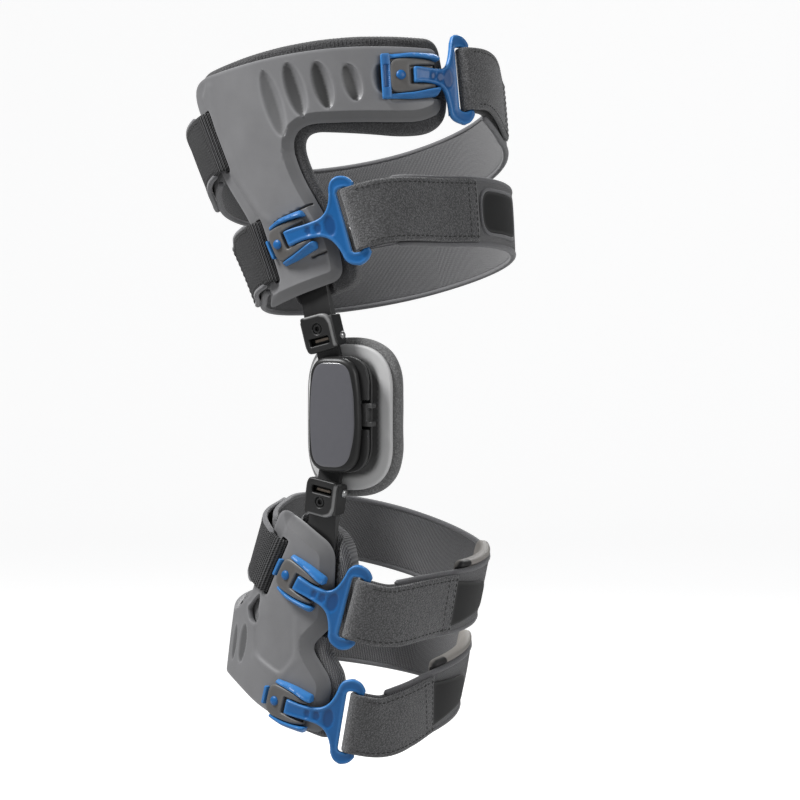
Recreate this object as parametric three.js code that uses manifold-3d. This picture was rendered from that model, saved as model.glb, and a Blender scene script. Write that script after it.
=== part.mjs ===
// Hinged knee brace for a right knee, worn a little bent.
// Millimetres. +X is the front, -Y the outer side and +Z up. The origin is the middle of the knee.

import * as THREE from 'three';
import Module from 'manifold-3d';
import { TessellateModifier } from 'three/addons/modifiers/TessellateModifier.js';
import { mergeVertices } from 'three/addons/utils/BufferGeometryUtils.js';

// Driving sizes
const GAP = 0.35; // clearance between pieces that touch
const GRAIN = 1 / 256; // coordinates are rounded to this
const MOST_HALVINGS = 40; // passes that cut long facets in two
const THIGH_LEAN = 13; // degrees that the thigh frame leans back
const CALF_LEAN = 11; // degrees that the calf frame slants back below the knee
const SHELL_WALL = 3.5;
const LINER_INSET = 5.1; // from the inside of the shell to the outside of the liner, room for the bar
const LINER_CLEAR = 0.5; // from the hollow to the inside of the liner
const LINER_FACET = 16; // width of one facet round a liner
const STRAP_WALL = 2.5;
const STRAP_WIDTH = 35;
const STRAP_GAP = 0.8; // from a strap to the bar that it loops round
const STRAP_STEP = 10; // length of one facet along a strap
const ROW_STEP = 50; // height between two rows of the tables below

// Half-widths of the two hollows, along each limb
const THIGH_HOLLOW = [
  { z: 0, front: 62, back: 58, outer: 59, inner: 58 },
  { z: 50, front: 74, back: 58, outer: 60, inner: 70 },
  { z: 100, front: 83, back: 65, outer: 66, inner: 80 },
  { z: 150, front: 89, back: 77, outer: 74, inner: 85 },
  { z: 200, front: 93, back: 85, outer: 80, inner: 89 },
  { z: 250, front: 95, back: 90, outer: 84, inner: 91 },
];
const CALF_HOLLOW = [
  { z: -250, front: 50, back: 52, outer: 48, inner: 51 },
  { z: -200, front: 54, back: 62, outer: 53, inner: 56 },
  { z: -150, front: 55, back: 71, outer: 57, inner: 60 },
  { z: -100, front: 56, back: 67, outer: 57, inner: 60 },
  { z: -50, front: 59, back: 58, outer: 56, inner: 58 },
  { z: 0, front: 62, back: 58, outer: 59, inner: 58 },
];

// Half-widths of the inside of the two shells. The outer side is straight, to take a flat bar.
const THIGH_FORM = [
  { z: 0, front: 76, back: 64, outer: 71.8, inner: 70 },
  { z: 50, front: 84, back: 70, outer: 75.7, inner: 80 },
  { z: 100, front: 92, back: 76, outer: 79.7, inner: 88 },
  { z: 150, front: 97, back: 86, outer: 83.6, inner: 93 },
  { z: 200, front: 100.5, back: 93, outer: 87.5, inner: 97 },
  { z: 250, front: 102, back: 98, outer: 91.5, inner: 99 },
];
const CALF_FORM = [
  { z: -250, front: 58, back: 68, outer: 56.7, inner: 58 },
  { z: -200, front: 61, back: 75, outer: 61.1, inner: 63 },
  { z: -150, front: 63, back: 78.5, outer: 65.5, inner: 67 },
  { z: -100, front: 66, back: 78.5, outer: 69.8, inner: 67 },
  { z: -50, front: 70, back: 74, outer: 74.2, inner: 65 },
  { z: 0, front: 72, back: 65, outer: 78.6, inner: 65 },
];

// A limb's surfaces are unrolled to a flat sheet: perDegree millimetres for each degree around it.
// A turn of 0 degrees is the outer side, and 90 degrees is the front. A facet is this wide.
const THIGH = { hollow: THIGH_HOLLOW, form: THIGH_FORM, perDegree: 1.6, facet: 13 };
const CALF = { hollow: CALF_HOLLOW, form: CALF_FORM, perDegree: 1.2, facet: 10 };

// Corners of the unrolled outlines, each rounded off over the length "round" on both sides
const THIGH_SHELL_OUTLINE = [
  { turn: -28, z: 212, round: 17 },
  { turn: 19, z: 209.5, round: 35 },
  { turn: 63, z: 197, round: 7 },
  { turn: 62, z: 160, round: 10 },
  { turn: 45, z: 162, round: 10 },
  { turn: 6, z: 175, round: 19 },
  { turn: 6, z: 146, round: 12 },
  { turn: 17, z: 107, round: 10 },
  { turn: 17, z: 83, round: 8 },
  { turn: -19, z: 77.5, round: 7 },
  { turn: -14, z: 90, round: 5 },
  { turn: -16, z: 126, round: 10 },
  { turn: -24, z: 155, round: 10 },
];
const THIGH_LINER_OUTLINE = [
  { turn: -18, z: 216, round: 10 },
  { turn: 19, z: 216, round: 35 },
  { turn: 66, z: 204, round: 9 },
  { turn: 66, z: 151, round: 12 },
  { turn: 45, z: 154, round: 12 },
  { turn: 11, z: 168, round: 14 },
  { turn: 12, z: 141, round: 14 },
  { turn: 22, z: 106, round: 12 },
  { turn: 21, z: 79, round: 9 },
  { turn: -6, z: 75, round: 6 },
  { turn: -7, z: 126, round: 10 },
  { turn: -16, z: 155, round: 10 },
];
const CALF_SHELL_OUTLINE = [
  { turn: -22, z: -46, round: 7 },
  { turn: -9, z: -50, round: 6 },
  { turn: 9, z: -60, round: 8 },
  { turn: 13, z: -104, round: 7 },
  { turn: 3, z: -119, round: 6 },
  { turn: 16.5, z: -136, round: 7 },
  { turn: 16, z: -168, round: 9 },
  { turn: -15, z: -164, round: 14 },
  { turn: -40, z: -155, round: 14 },
  { turn: -105.5, z: -160, round: 9 },
  { turn: -105.5, z: -111, round: 9 },
  { turn: -50, z: -115, round: 10 },
  { turn: -34, z: -103, round: 7 },
];
const CALF_LINER_OUTLINE = [
  { turn: -12, z: -44, round: 7 },
  { turn: 12, z: -55, round: 9 },
  { turn: 19, z: -74, round: 9 },
  { turn: 18, z: -100, round: 9 },
  { turn: 10, z: -118, round: 8 },
  { turn: 23, z: -134, round: 8 },
  { turn: 20, z: -171, round: 9 },
  { turn: -15, z: -167, round: 14 },
  { turn: -40, z: -158, round: 14 },
  { turn: -95, z: -162, round: 9 },
  { turn: -95, z: -109, round: 9 },
  { turn: -46, z: -113, round: 10 },
  { turn: -23, z: -103, round: 7 },
];

// Dimples pressed into the arms: middle, whole height and whole width
const DIMPLE = { depth: 2.2, sides: 8, rings: 4 };
const THIGH_DIMPLES = [
  { turn: 6, z: 186, height: 38, width: 12 },
  { turn: 14.5, z: 190, height: 30, width: 10.5 },
  { turn: 23, z: 189, height: 26, width: 9.5 },
  { turn: 31.5, z: 187, height: 19, width: 8 },
  { turn: 40.5, z: 186, height: 16, width: 12 },
];
const CALF_DIMPLES = [
  { turn: -36, z: -134, height: 26, width: 8 },
  { turn: -47, z: -135, height: 22, width: 8 },
  { turn: -58, z: -136, height: 18, width: 8 },
];

// Strap slots: the bar of shell that the strap loops round has its middle at turn and z
const SLOT = { bar: 4.5, width: 5, length: 37.5, round: 1.2 };
const SLOTS = {
  thigh_upper: { turn: -24, z: 175, tilt: 7 },
  thigh_lower: { turn: -13.6, z: 108, tilt: 5 },
  calf_upper: { turn: -24.2, z: -78.7, tilt: -17 },
  calf_lower: { turn: -103.3, z: -136, tilt: 0 },
};

// Buckles: middle of the base and the tilt of its hook
const BUCKLES = {
  thigh_upper: { turn: 51.9, z: 183, tilt: -8 },
  thigh_lower: { turn: 2.75, z: 114, tilt: 0 },
  calf_upper: { turn: -3.4, z: -85.5, tilt: -6 },
  calf_lower: { turn: -2, z: -156, tilt: -3 },
};

// A buckle lies flat in its own frame: x towards the hook, y up and z away from the shell
const BASE = { back: -12.6, front: 10.5, half: 8.4, top: 5, round: 4 };
const NOTCH = { back: -2.8, half: 4.6, floor: 2.2, round: 0.6 };
const FRAME = { back: -15, front: 12, half: 11.2, rail: 2.4, bow: 2, top: 4.5, round: 5, inner: 2.2, tip: 1 };
const RIVET = { x: -7.6, foot: 1, shank: 1.4, hole: 2, head: 2.5, rise: 1.4 };
const HOOK = { tip: -2.4, half: 4.2, low: 2.55, high: 5.55, waist: 10.8, neck: 16 };
const RING = { left: 19.5, right: 31.4, half: 22.5, round: 2, shoulder: 5 };
const RING_SLOT = { left: 23.4, right: 28, half: 18.5 };

// Points that the straps pass, from the bar of the hook round the limb to the bar of the slot
const STRAP_ROUTES = {
  thigh_upper: [
    { turn: 95, z: 171 },
    { turn: 135, z: 160 },
    { turn: 185, z: 154 },
    { turn: 240, z: 156 },
    { turn: 290, z: 164 },
  ],
  thigh_lower: [
    { turn: 62, z: 110 },
    { turn: 105, z: 106 },
    { turn: 160, z: 103 },
    { turn: 225, z: 102 },
    { turn: 295, z: 104 },
  ],
  calf_upper: [
    { turn: 55, z: -88 },
    { turn: 100, z: -83 },
    { turn: 160, z: -77 },
    { turn: 220, z: -71 },
    { turn: 280, z: -69 },
  ],
  calf_lower: [
    { turn: 56, z: -151 },
    { turn: 80, z: -143 },
    { turn: 115, z: -136 },
    { turn: 160, z: -132 },
    { turn: 210, z: -134 },
  ],
};
// Lengths of the two ends that fold back on the strap
const STRAP_ENDS = {
  thigh_upper: { front: 62, rear: 70 },
  thigh_lower: { front: 86, rear: 70 },
  calf_upper: { front: 66, rear: 62 },
  calf_lower: { front: 64, rear: 62 },
};
const STRAP_SETTLE = 58; // stretch from a bar to where the strap lies on the hollow
const STRAP_LEAD = 14; // straight stretch at each bar
const STRAP_SEAT = 0.6; // from the hollow to the strap
const LAYER_GAP = 0.4; // between the two layers of a folded end
const FOLD_OVERLAP = 0.6; // how far the round of a fold reaches over the edge of its bar
const FOLD_ANGLES = [-60, -30, 0, 30, 60];

// Hinge: heights of the two pivots, and layers measured outwards from the middle plane of the arms
const ARM_PLANE = 73; // from the middle of the knee to the middle of the arms
const UPPER_PIVOT = 25.5;
const LOWER_PIVOT = -0.5;
const ARM = { wall: 3, head: 12.6, half: 7, bore: 3.6, clear: 1 };
const PIVOT = { radius: 3.2, inside: -3.7, outside: 4.4 };
const PIN = { reach: 29, radius: 1.8, half: 11.1 };
const KNUCKLE = { radius: 4.2, half: 7.4 };
const EAR = { inside: 7.8, outside: 10.5, low: -5, high: 12, back: -3.2, face: 7.5, tip: 3, heel: 1 };
const LID = { low: -3, inside: 5 }; // cover plate between the ears
const BAR = { half: 9, start: 8, wall: 3 };
const THIGH_BAR = { length: 60, tilt: 4.5 };
const CALF_BAR = { length: 70, tilt: -5 };
const SCREW = { y: 5.2, radius: 2.6, socket: 1.5, sink: 1.4, low: 3.4, high: 7.7 };
const CLIP = { back: 16.5, front: 25.5, half: 6, jaw: 2.4, spine: 3, inside: -1.55, outside: 1.65 };
const CLIP_ROUND = 0.6;

// Hinge plates: the middle of the outline, its size and its layer
const COVER = { x: 4, z: 12.6, width: 34.5, height: 61.5, round: 13.5, inside: 4.95, outside: 9.3 };
const COVER_BEVEL = 1.6;
const FRONT_PLATE = { x: 4, z: 12.6, width: 37, height: 64, round: 15, inside: 2, outside: 4.6 };
const BACK_PLATE = { x: 4, z: 12.6, width: 34, height: 61, round: 14, inside: -3.9, outside: -1.9 };
const CONDYLE_PLATE = { x: 4, z: 10.8, width: 51, height: 79, round: 25, inside: -6.6, outside: -4.3 };
const CONDYLE_PAD = { x: 4, z: 10.8, width: 60.5, height: 88, round: 29.5, inside: -13.4, outside: -6.95 };
const DISH = { across: 0.0035, along: 0.0008 }; // depth for each square millimetre from the middle

const degrees = THREE.MathUtils.degToRad;
const wasm = await Module();
wasm.setup();

// Materials

function paint(color, roughness, metalness = 0) {
  return new THREE.MeshStandardMaterial({ color, roughness, metalness });
}
const shellPlastic = () => paint(0x7d7e80, 0.5);
const linerCloth = () => paint(0x4a4c4f, 0.95);
const strapCloth = () => paint(0x55565a, 0.95);
const bluePlastic = () => paint(0x235fb4, 0.4);
const darkPlastic = () => paint(0x4d4c4b, 0.5);
const blackMetal = () => paint(0x2d302f, 0.45, 0.6);
const steel = () => paint(0x55575a, 0.35, 0.9);
const glossPlastic = () => paint(0x58575e, 0.15);
const palePlastic = () => paint(0xa5a5a3, 0.5);
const foam = () => paint(0x5a5c5e, 0.95);

// Flat shapes

// A closed outline of straight sides whose corners are rounded off
function roundedShape(corners) {
  const shape = new THREE.Shape();
  corners.forEach((corner, i) => {
    const here = new THREE.Vector2(corner.x, corner.y);
    const before = corners.at(i - 1);
    const after = corners[(i + 1) % corners.length];
    const start = new THREE.Vector2(before.x, before.y).sub(here).setLength(corner.round).add(here);
    const end = new THREE.Vector2(after.x, after.y).sub(here).setLength(corner.round).add(here);
    if (i === 0) shape.moveTo(start.x, start.y);
    else shape.lineTo(start.x, start.y);
    shape.quadraticCurveTo(here.x, here.y, end.x, end.y);
  });
  shape.closePath();
  return shape;
}

function roundedBox(x0, x1, y0, y1, round) {
  return roundedShape([
    { x: x0, y: y0, round },
    { x: x1, y: y0, round },
    { x: x1, y: y1, round },
    { x: x0, y: y1, round },
  ]);
}

function roundHole(x, y, radius) {
  return new THREE.Path().absellipse(x, y, radius, radius, 0, 2 * Math.PI, true);
}

function unrolledShape(limb, outline) {
  return roundedShape(outline.map(({ turn, z, round }) => ({ x: turn * limb.perDegree, y: z, round })));
}

// Solids

// Welds the facets together, after rounding their corners so that shared ones are exactly alike
function bare(geometry) {
  geometry.deleteAttribute('normal');
  geometry.deleteAttribute('uv');
  const position = geometry.getAttribute('position');
  position.array.forEach((value, i) => {
    position.array[i] = Math.round(value / GRAIN) * GRAIN;
  });
  return mergeVertices(geometry, GRAIN / 4);
}

// A plain prism over the outline, from height low to high
function prism(shape, low, high, { curveSegments = 4, bevel = 0 } = {}) {
  const extruded = new THREE.ExtrudeGeometry(shape, {
    depth: high - low - 2 * bevel,
    curveSegments,
    bevelEnabled: bevel > 0,
    bevelThickness: bevel,
    bevelSize: bevel,
    bevelOffset: -bevel,
    bevelSegments: 1,
  });
  return bare(extruded.translate(0, 0, low + bevel));
}

// Moves every corner of a flat piece to the point that place gives for it
function bend(geometry, place) {
  const position = geometry.getAttribute('position');
  for (let i = 0; i < position.count; i += 1) {
    const { x, y, z } = place(position.getX(i), position.getY(i), position.getZ(i));
    position.setXYZ(i, x, y, z);
  }
  return geometry;
}

// A prism of the outline that is bent, in facets that follow the curve
function bentPrism(shape, low, high, place, { facet = 45, curveSegments = 3 } = {}) {
  const whole = prism(shape, low, high, { curveSegments });
  return bend(bare(new TessellateModifier(facet, MOST_HALVINGS).modify(whole)), place);
}

// A bent plate: a sheet of facets, cut along a prism of the outline that is bent with it
function bentPlate(shape, low, high, place, options) {
  const { across = 13, along = 30, over = 5, curveSegments = 2, holes = [] } = options;
  const area = new THREE.Box2().setFromPoints(shape.getPoints(curveSegments)).expandByScalar(1);
  const size = area.getSize(new THREE.Vector2());
  const middle = area.getCenter(new THREE.Vector2());
  const cells = [Math.ceil(size.x / across), Math.ceil(size.y / along)];
  const sheet = new THREE.BoxGeometry(size.x, size.y, high - low, ...cells);
  sheet.translate(middle.x, middle.y, (low + high) / 2);
  const cutter = (outline) => toSolid(bentPrism(outline, low - over, high + over, place, { curveSegments }));
  const cut = toSolid(bend(bare(sheet), place)).intersect(cutter(shape));
  return toGeometry(holes.reduce((solid, hole) => solid.subtract(cutter(hole)), cut));
}

function toSolid(geometry) {
  const vertProperties = geometry.getAttribute('position').array;
  const triVerts = new Uint32Array(geometry.index.array);
  return new wasm.Manifold(new wasm.Mesh({ numProp: 3, vertProperties, triVerts }));
}

function toGeometry(solid) {
  const mesh = solid.getMesh();
  const geometry = new THREE.BufferGeometry();
  geometry.setAttribute('position', new THREE.BufferAttribute(mesh.vertProperties, 3));
  geometry.setIndex(new THREE.BufferAttribute(mesh.triVerts, 1));
  return geometry;
}

const joined = (pieces) => toGeometry(pieces.map(toSolid).reduce((a, b) => a.add(b)));

function cutBy(piece, tools) {
  return toGeometry(tools.map(toSolid).reduce((a, b) => a.subtract(b), toSolid(piece)));
}

function box(x0, x1, y0, y1, z0, z1) {
  const geometry = new THREE.BoxGeometry(x1 - x0, y1 - y0, z1 - z0);
  return bare(geometry.translate((x0 + x1) / 2, (y0 + y1) / 2, (z0 + z1) / 2));
}

// A round rod along X through the origin
function rod(radius, half, sides = 12) {
  return bare(new THREE.CylinderGeometry(radius, radius, 2 * half, sides).rotateZ(Math.PI / 2));
}

// A round post from height low to high
function post(radius, low, high, sides = 12) {
  const upright = new THREE.CylinderGeometry(radius, radius, high - low, sides).rotateX(Math.PI / 2);
  return bare(upright.translate(0, 0, (low + high) / 2));
}

// Limb surfaces

// Half-widths at a height, on a smooth curve through the rows
function halfWidths(rows, z) {
  const last = rows.length - 1;
  const place = THREE.MathUtils.clamp((z - rows[0].z) / ROW_STEP, 0, last - 1e-6);
  const i = Math.floor(place);
  const t = place - i;
  const row = (k) => rows[THREE.MathUtils.clamp(k, 0, last)];
  const smooth = (key) => {
    const [a, b, c, d] = [row(i - 1)[key], row(i)[key], row(i + 1)[key], row(i + 2)[key]];
    return b + 0.5 * t * (c - a + t * (2 * a - 5 * b + 4 * c - d + t * (3 * (b - c) + d - a)));
  };
  return { front: smooth('front'), back: smooth('back'), outer: smooth('outer'), inner: smooth('inner') };
}

// The point on a limb's surface at a turn and height, moved out from it
function wallPoint(rows, turn, z, out) {
  const { front, back, outer, inner } = halfWidths(rows, z);
  const sin = Math.sin(degrees(turn));
  const cos = Math.cos(degrees(turn));
  const a = sin > 0 ? front : back;
  const b = cos > 0 ? outer : inner;
  const normal = new THREE.Vector3(sin / a, -cos / b, 0).normalize();
  return new THREE.Vector3(a * sin, -b * cos, z).addScaledVector(normal, out);
}

const onForm = (limb, x, z, out) => wallPoint(limb.form, x / limb.perDegree, z, out);

// Shells and liners

// The slot lies ahead of its bar, parallel to it
function slotShape(limb, { turn, z, tilt }) {
  const near = SLOT.bar / 2;
  const flat = roundedBox(near, near + SLOT.width, -SLOT.length / 2, SLOT.length / 2, SLOT.round);
  const turned = flat.getPoints(2).map((p) => p.rotateAround(new THREE.Vector2(), degrees(tilt)));
  return new THREE.Shape(turned.map((p) => p.add(new THREE.Vector2(turn * limb.perDegree, z))));
}

function dimpleTool(limb, { turn, z, height, width }) {
  const ball = new THREE.SphereGeometry(1, DIMPLE.sides, DIMPLE.rings);
  ball.scale(width / 2, height / 2, DIMPLE.depth);
  return bend(bare(ball), (x, y, h) => onForm(limb, turn * limb.perDegree + x, z + y, SHELL_WALL + h));
}

function shell(limb, outline, slots, dimples) {
  const holes = slots.map((slot) => slotShape(limb, slot));
  const onShell = (x, y, h) => onForm(limb, x, y, h);
  const options = { across: limb.facet, holes };
  const bent = bentPlate(unrolledShape(limb, outline), 0, SHELL_WALL, onShell, options);
  return cutBy(bent, dimples.map((dimple) => dimpleTool(limb, dimple)));
}

// The liner fills the space from the hollow to just inside the bar
function liner(limb, outline) {
  const fill = (x, y, h) => {
    const inside = wallPoint(limb.hollow, x / limb.perDegree, y, LINER_CLEAR);
    return inside.lerp(onForm(limb, x, y, -LINER_INSET), h);
  };
  const options = { across: LINER_FACET, along: 40, over: 1 };
  return bentPlate(unrolledShape(limb, outline), 0, 1, fill, options);
}

// Buckles

// Where a point of a buckle's own frame lies on its shell
function onBuckle(limb, { turn, z, tilt }) {
  const cos = Math.cos(degrees(tilt));
  const sin = Math.sin(degrees(tilt));
  const x0 = turn * limb.perDegree;
  return (x, y, h) => onForm(limb, x0 + x * cos - y * sin, z + x * sin + y * cos, SHELL_WALL + h);
}

function buckleBase(place) {
  const { back, front, half, top, round } = BASE;
  const outline = roundedBox(back, front, -half, half, round);
  const notch = roundedBox(NOTCH.back, front + 1, -NOTCH.half, NOTCH.half, NOTCH.round);
  const rivetHole = new THREE.Shape(roundHole(RIVET.x, 0, RIVET.hole).getSpacedPoints(8).slice(1));
  const whole = bentPlate(outline, GAP, top, place, { holes: [rivetHole] });
  return cutBy(whole, [bentPrism(notch, NOTCH.floor, top + 1, place, { facet: 8, curveSegments: 1 })]);
}

function buckleFrame(place) {
  const { back, front, half, rail, bow, top, round, inner, tip } = FRAME;
  const outline = roundedShape([
    { x: back, y: -half, round },
    { x: front, y: -half, round: tip },
    { x: front, y: rail - half, round: tip },
    { x: back + bow, y: rail - half, round: inner },
    { x: back + bow, y: half - rail, round: inner },
    { x: front, y: half - rail, round: tip },
    { x: front, y: half, round: tip },
    { x: back, y: half, round },
  ]);
  return bentPlate(outline, GAP, top, place, { curveSegments: 1 });
}

// A domed head on a shank, turned about the buckle's upward axis
function buckleRivet(place) {
  const seat = BASE.top + GAP;
  const profile = [
    new THREE.Vector2(0, RIVET.foot),
    new THREE.Vector2(RIVET.shank, RIVET.foot),
    new THREE.Vector2(RIVET.shank, seat),
    new THREE.Vector2(RIVET.head, seat),
    new THREE.Vector2(RIVET.head * 0.8, seat + RIVET.rise * 0.75),
    new THREE.Vector2(0, seat + RIVET.rise),
  ];
  const turned = new THREE.LatheGeometry(profile, 8).rotateX(Math.PI / 2).translate(RIVET.x, 0, 0);
  return bend(bare(turned), place);
}

// A tongue that widens to a ring, whose far bar carries the strap
function buckleHook(place) {
  const { left, right, half, round, shoulder } = RING;
  const { tip, waist, neck } = HOOK;
  const shape = new THREE.Shape();
  shape.moveTo(tip, -HOOK.half);
  shape.lineTo(waist, -HOOK.half);
  shape.quadraticCurveTo(neck, -HOOK.half, left, shoulder - half);
  shape.quadraticCurveTo(left + 1, -half, left + shoulder, -half);
  shape.lineTo(right - round, -half);
  shape.quadraticCurveTo(right, -half, right, round - half);
  shape.lineTo(right, half - round);
  shape.quadraticCurveTo(right, half, right - round, half);
  shape.lineTo(left + shoulder, half);
  shape.quadraticCurveTo(left + 1, half, left, half - shoulder);
  shape.quadraticCurveTo(neck, HOOK.half, waist, HOOK.half);
  shape.lineTo(tip, HOOK.half);
  shape.closePath();
  const gap = RING_SLOT;
  const strapSlot = roundedBox(gap.left, gap.right, -gap.half, gap.half, round);
  return bentPlate(shape, HOOK.low, HOOK.high, place, { holes: [strapSlot] });
}

// Straps

// The middle of a strap on the unrolled sheet, from the hook's bar to the slot's bar
function strapCurve(limb, buckle, route, slot) {
  const sheet = (turn, z) => new THREE.Vector3(turn * limb.perDegree, z, 0);
  const along = (tilt) => new THREE.Vector3(Math.cos(degrees(tilt)), Math.sin(degrees(tilt)), 0);
  const reach = (RING_SLOT.right + RING.right) / 2;
  const start = sheet(buckle.turn, buckle.z).addScaledVector(along(buckle.tilt), reach);
  const end = sheet(slot.turn + 360, slot.z);
  return new THREE.CatmullRomCurve3([
    start,
    start.clone().addScaledVector(along(buckle.tilt), STRAP_LEAD),
    ...route.map(({ turn, z }) => sheet(turn, z)),
    end.clone().addScaledVector(along(slot.tilt), -STRAP_LEAD),
    end,
  ]);
}

// Heights of the two layers of a strap at a bar, and where the fold round the bar has its middle
function foldAt(bar) {
  const lower = bar.low - STRAP_GAP - STRAP_WALL / 2;
  const upper = bar.high + STRAP_GAP + STRAP_WALL / 2;
  const middle = (lower + upper) / 2;
  return { lower, upper, middle, radius: upper - middle, shift: bar.half - FOLD_OVERLAP };
}

// A strap is a band: one layer all round, folded back on itself at both bars
function strap(limb, buckle, route, slot, ends) {
  const curve = strapCurve(limb, buckle, route, slot);
  const length = curve.getLength();
  const hookFold = foldAt({ low: HOOK.low, high: HOOK.high, half: (RING.right - RING_SLOT.right) / 2 });
  const slotFold = foldAt({ low: -SHELL_WALL, high: 0, half: SLOT.bar / 2 });
  const seat = STRAP_SEAT + STRAP_WALL / 2;
  const settled = { lower: seat, upper: seat + STRAP_WALL + LAYER_GAP };
  const lift = (s) => 1 - THREE.MathUtils.smoothstep(Math.min(s, length - s), 0, STRAP_SETTLE);
  const layer = (key) => (s) => {
    const fold = s < length / 2 ? hookFold : slotFold;
    return new THREE.Vector2(s, THREE.MathUtils.lerp(settled[key], fold[key], lift(s)));
  };
  const run = (key, from, to) => {
    const steps = Math.ceil(Math.abs(to - from) / STRAP_STEP);
    const at = (i) => THREE.MathUtils.lerp(from, to, i / steps);
    return Array.from({ length: steps + 1 }, (_, i) => layer(key)(at(i)));
  };
  const turnBack = (fold, centre, side) => FOLD_ANGLES.map((angle) => {
    const across = fold.radius * Math.cos(degrees(angle));
    const up = fold.radius * Math.sin(degrees(angle));
    return new THREE.Vector2(centre + side * across, fold.middle + side * up);
  });
  const hookEnd = -hookFold.shift;
  const slotEnd = length + slotFold.shift;
  const path = [
    ...run('upper', ends.front, hookEnd),
    ...turnBack(hookFold, hookEnd, -1),
    ...run('lower', hookEnd, slotEnd),
    ...turnBack(slotFold, slotEnd, 1),
    ...run('upper', slotEnd, length - ends.rear),
  ];

  const place = (s, across, out) => {
    const inside = THREE.MathUtils.clamp(s, 0, length) / length;
    const middle = curve.getPointAt(inside);
    const along = curve.getTangentAt(inside);
    middle.addScaledVector(along, s - inside * length);
    const turn = (middle.x - across * along.y) / limb.perDegree;
    const z = middle.y + across * along.x;
    const low = wallPoint(limb.hollow, turn, z, out);
    return low.lerp(wallPoint(limb.form, turn, z, SHELL_WALL + out), lift(s));
  };
  return band(path, place);
}

// A band of even thickness along a path of (distance, height) points, closed at both ends
function band(path, place) {
  const positions = [];
  const corners = [
    { side: 1, across: -1 },
    { side: 1, across: 1 },
    { side: -1, across: 1 },
    { side: -1, across: -1 },
  ];
  path.forEach((point, i) => {
    const before = path[Math.max(i - 1, 0)];
    const after = path[Math.min(i + 1, path.length - 1)];
    const ahead = after.clone().sub(before).normalize();
    corners.forEach(({ side, across }) => {
      const s = point.x - ahead.y * side * STRAP_WALL / 2;
      const out = point.y + ahead.x * side * STRAP_WALL / 2;
      positions.push(...place(s, across * STRAP_WIDTH / 2, out).toArray());
    });
  });
  const index = [];
  const quad = (a, b, c, d) => index.push(a, c, b, a, d, c);
  for (let i = 0; i < path.length - 1; i += 1) {
    for (let k = 0; k < 4; k += 1) {
      const next = (k + 1) % 4;
      quad(4 * i + k, 4 * i + next, 4 * i + 4 + next, 4 * i + 4 + k);
    }
  }
  const last = 4 * (path.length - 1);
  quad(3, 2, 1, 0);
  quad(last, last + 1, last + 2, last + 3);
  const geometry = new THREE.BufferGeometry();
  geometry.setAttribute('position', new THREE.Float32BufferAttribute(positions, 3));
  geometry.setIndex(index);
  return geometry;
}

// Hinge pieces. Each is drawn flat, x to the front and y up, then stood up to face the outer side.

const stood = (geometry) => geometry.rotateX(Math.PI / 2);

function hingeShape({ x, z, width, height, round }) {
  return roundedBox(x - width / 2, x + width / 2, z - height / 2, z + height / 2, round);
}

function hingePlate(size, { holes = [], bevel = 0 } = {}) {
  const shape = hingeShape(size);
  shape.holes.push(...holes);
  return stood(prism(shape, size.inside, size.outside, { curveSegments: 4, bevel }));
}

const pivotHoles = () => [UPPER_PIVOT, LOWER_PIVOT].map((z) => roundHole(0, z, PIVOT.radius + GAP));

// A hinge plate that curves towards the knee, more so across than along
function dishedPlate(size) {
  const place = (x, y, h) => {
    const across = DISH.across * (x - size.x) ** 2;
    const along = DISH.along * (y - size.z) ** 2;
    return { x, y, z: h - across - along };
  };
  const options = { along: 20, curveSegments: 5 };
  return stood(bentPlate(hingeShape(size), size.inside, size.outside, place, options));
}

// A flat arm from its round head at the pivot to the knuckle on the pin, with the pin along X
function hingeArm() {
  const shape = new THREE.Shape();
  const shoulder = Math.acos(ARM.half / ARM.head);
  const top = PIN.reach - PIN.radius - ARM.clear;
  shape.absarc(0, 0, ARM.head, Math.PI - shoulder, 2 * Math.PI + shoulder, false);
  shape.lineTo(ARM.half, top);
  shape.lineTo(-ARM.half, top);
  shape.closePath();
  shape.holes.push(roundHole(0, 0, ARM.bore));
  const flat = prism(shape, -ARM.wall / 2, ARM.wall / 2, { curveSegments: 10 });
  const knuckle = rod(KNUCKLE.radius, KNUCKLE.half).translate(0, PIN.reach, 0);
  const bore = rod(PIN.radius + GAP, 2 * KNUCKLE.half).translate(0, PIN.reach, 0);
  return stood(cutBy(joined([flat, knuckle]), [bore]));
}

// A bar that ends in two ears beside the pin, under a cover plate. The pin is at the origin, along X.
function upright({ length }) {
  const { inside, outside, low, high, back, face, tip, heel } = EAR;
  const outline = roundedShape([
    { x: back, y: low, round: tip },
    { x: face, y: low, round: tip },
    { x: face, y: high, round: heel },
    { x: back, y: high, round: heel },
  ]);
  const ears = [outside, -inside].map((x) => {
    const ear = prism(outline, 0, outside - inside, { curveSegments: 2 });
    return ear.rotateY(-Math.PI / 2).translate(x, 0, 0);
  });
  const bar = box(-BAR.half, BAR.half, BAR.start, BAR.start + length, -BAR.wall / 2, BAR.wall / 2);
  const web = box(-outside, outside, BAR.start, high, -BAR.wall / 2, face);
  const lid = box(-outside, outside, LID.low, high, LID.inside, face);
  const pinHole = rod(PIN.radius + GAP, 2 * outside);
  const screwHole = post(SCREW.radius + GAP, SCREW.low, face + 1).translate(0, SCREW.y, 0);
  return stood(cutBy(joined([...ears, bar, web, lid]), [pinHole, screwHole]));
}

// A headless screw with a hexagon socket in its outer end
function setScrew() {
  const body = post(SCREW.radius, SCREW.low, SCREW.high);
  const socket = post(SCREW.socket, SCREW.high - SCREW.sink, SCREW.high + 1, 6);
  return stood(cutBy(body, [socket]).translate(0, SCREW.y, 0));
}

const pivot = (z) => stood(post(PIVOT.radius, PIVOT.inside, PIVOT.outside).translate(0, z, 0));

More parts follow.
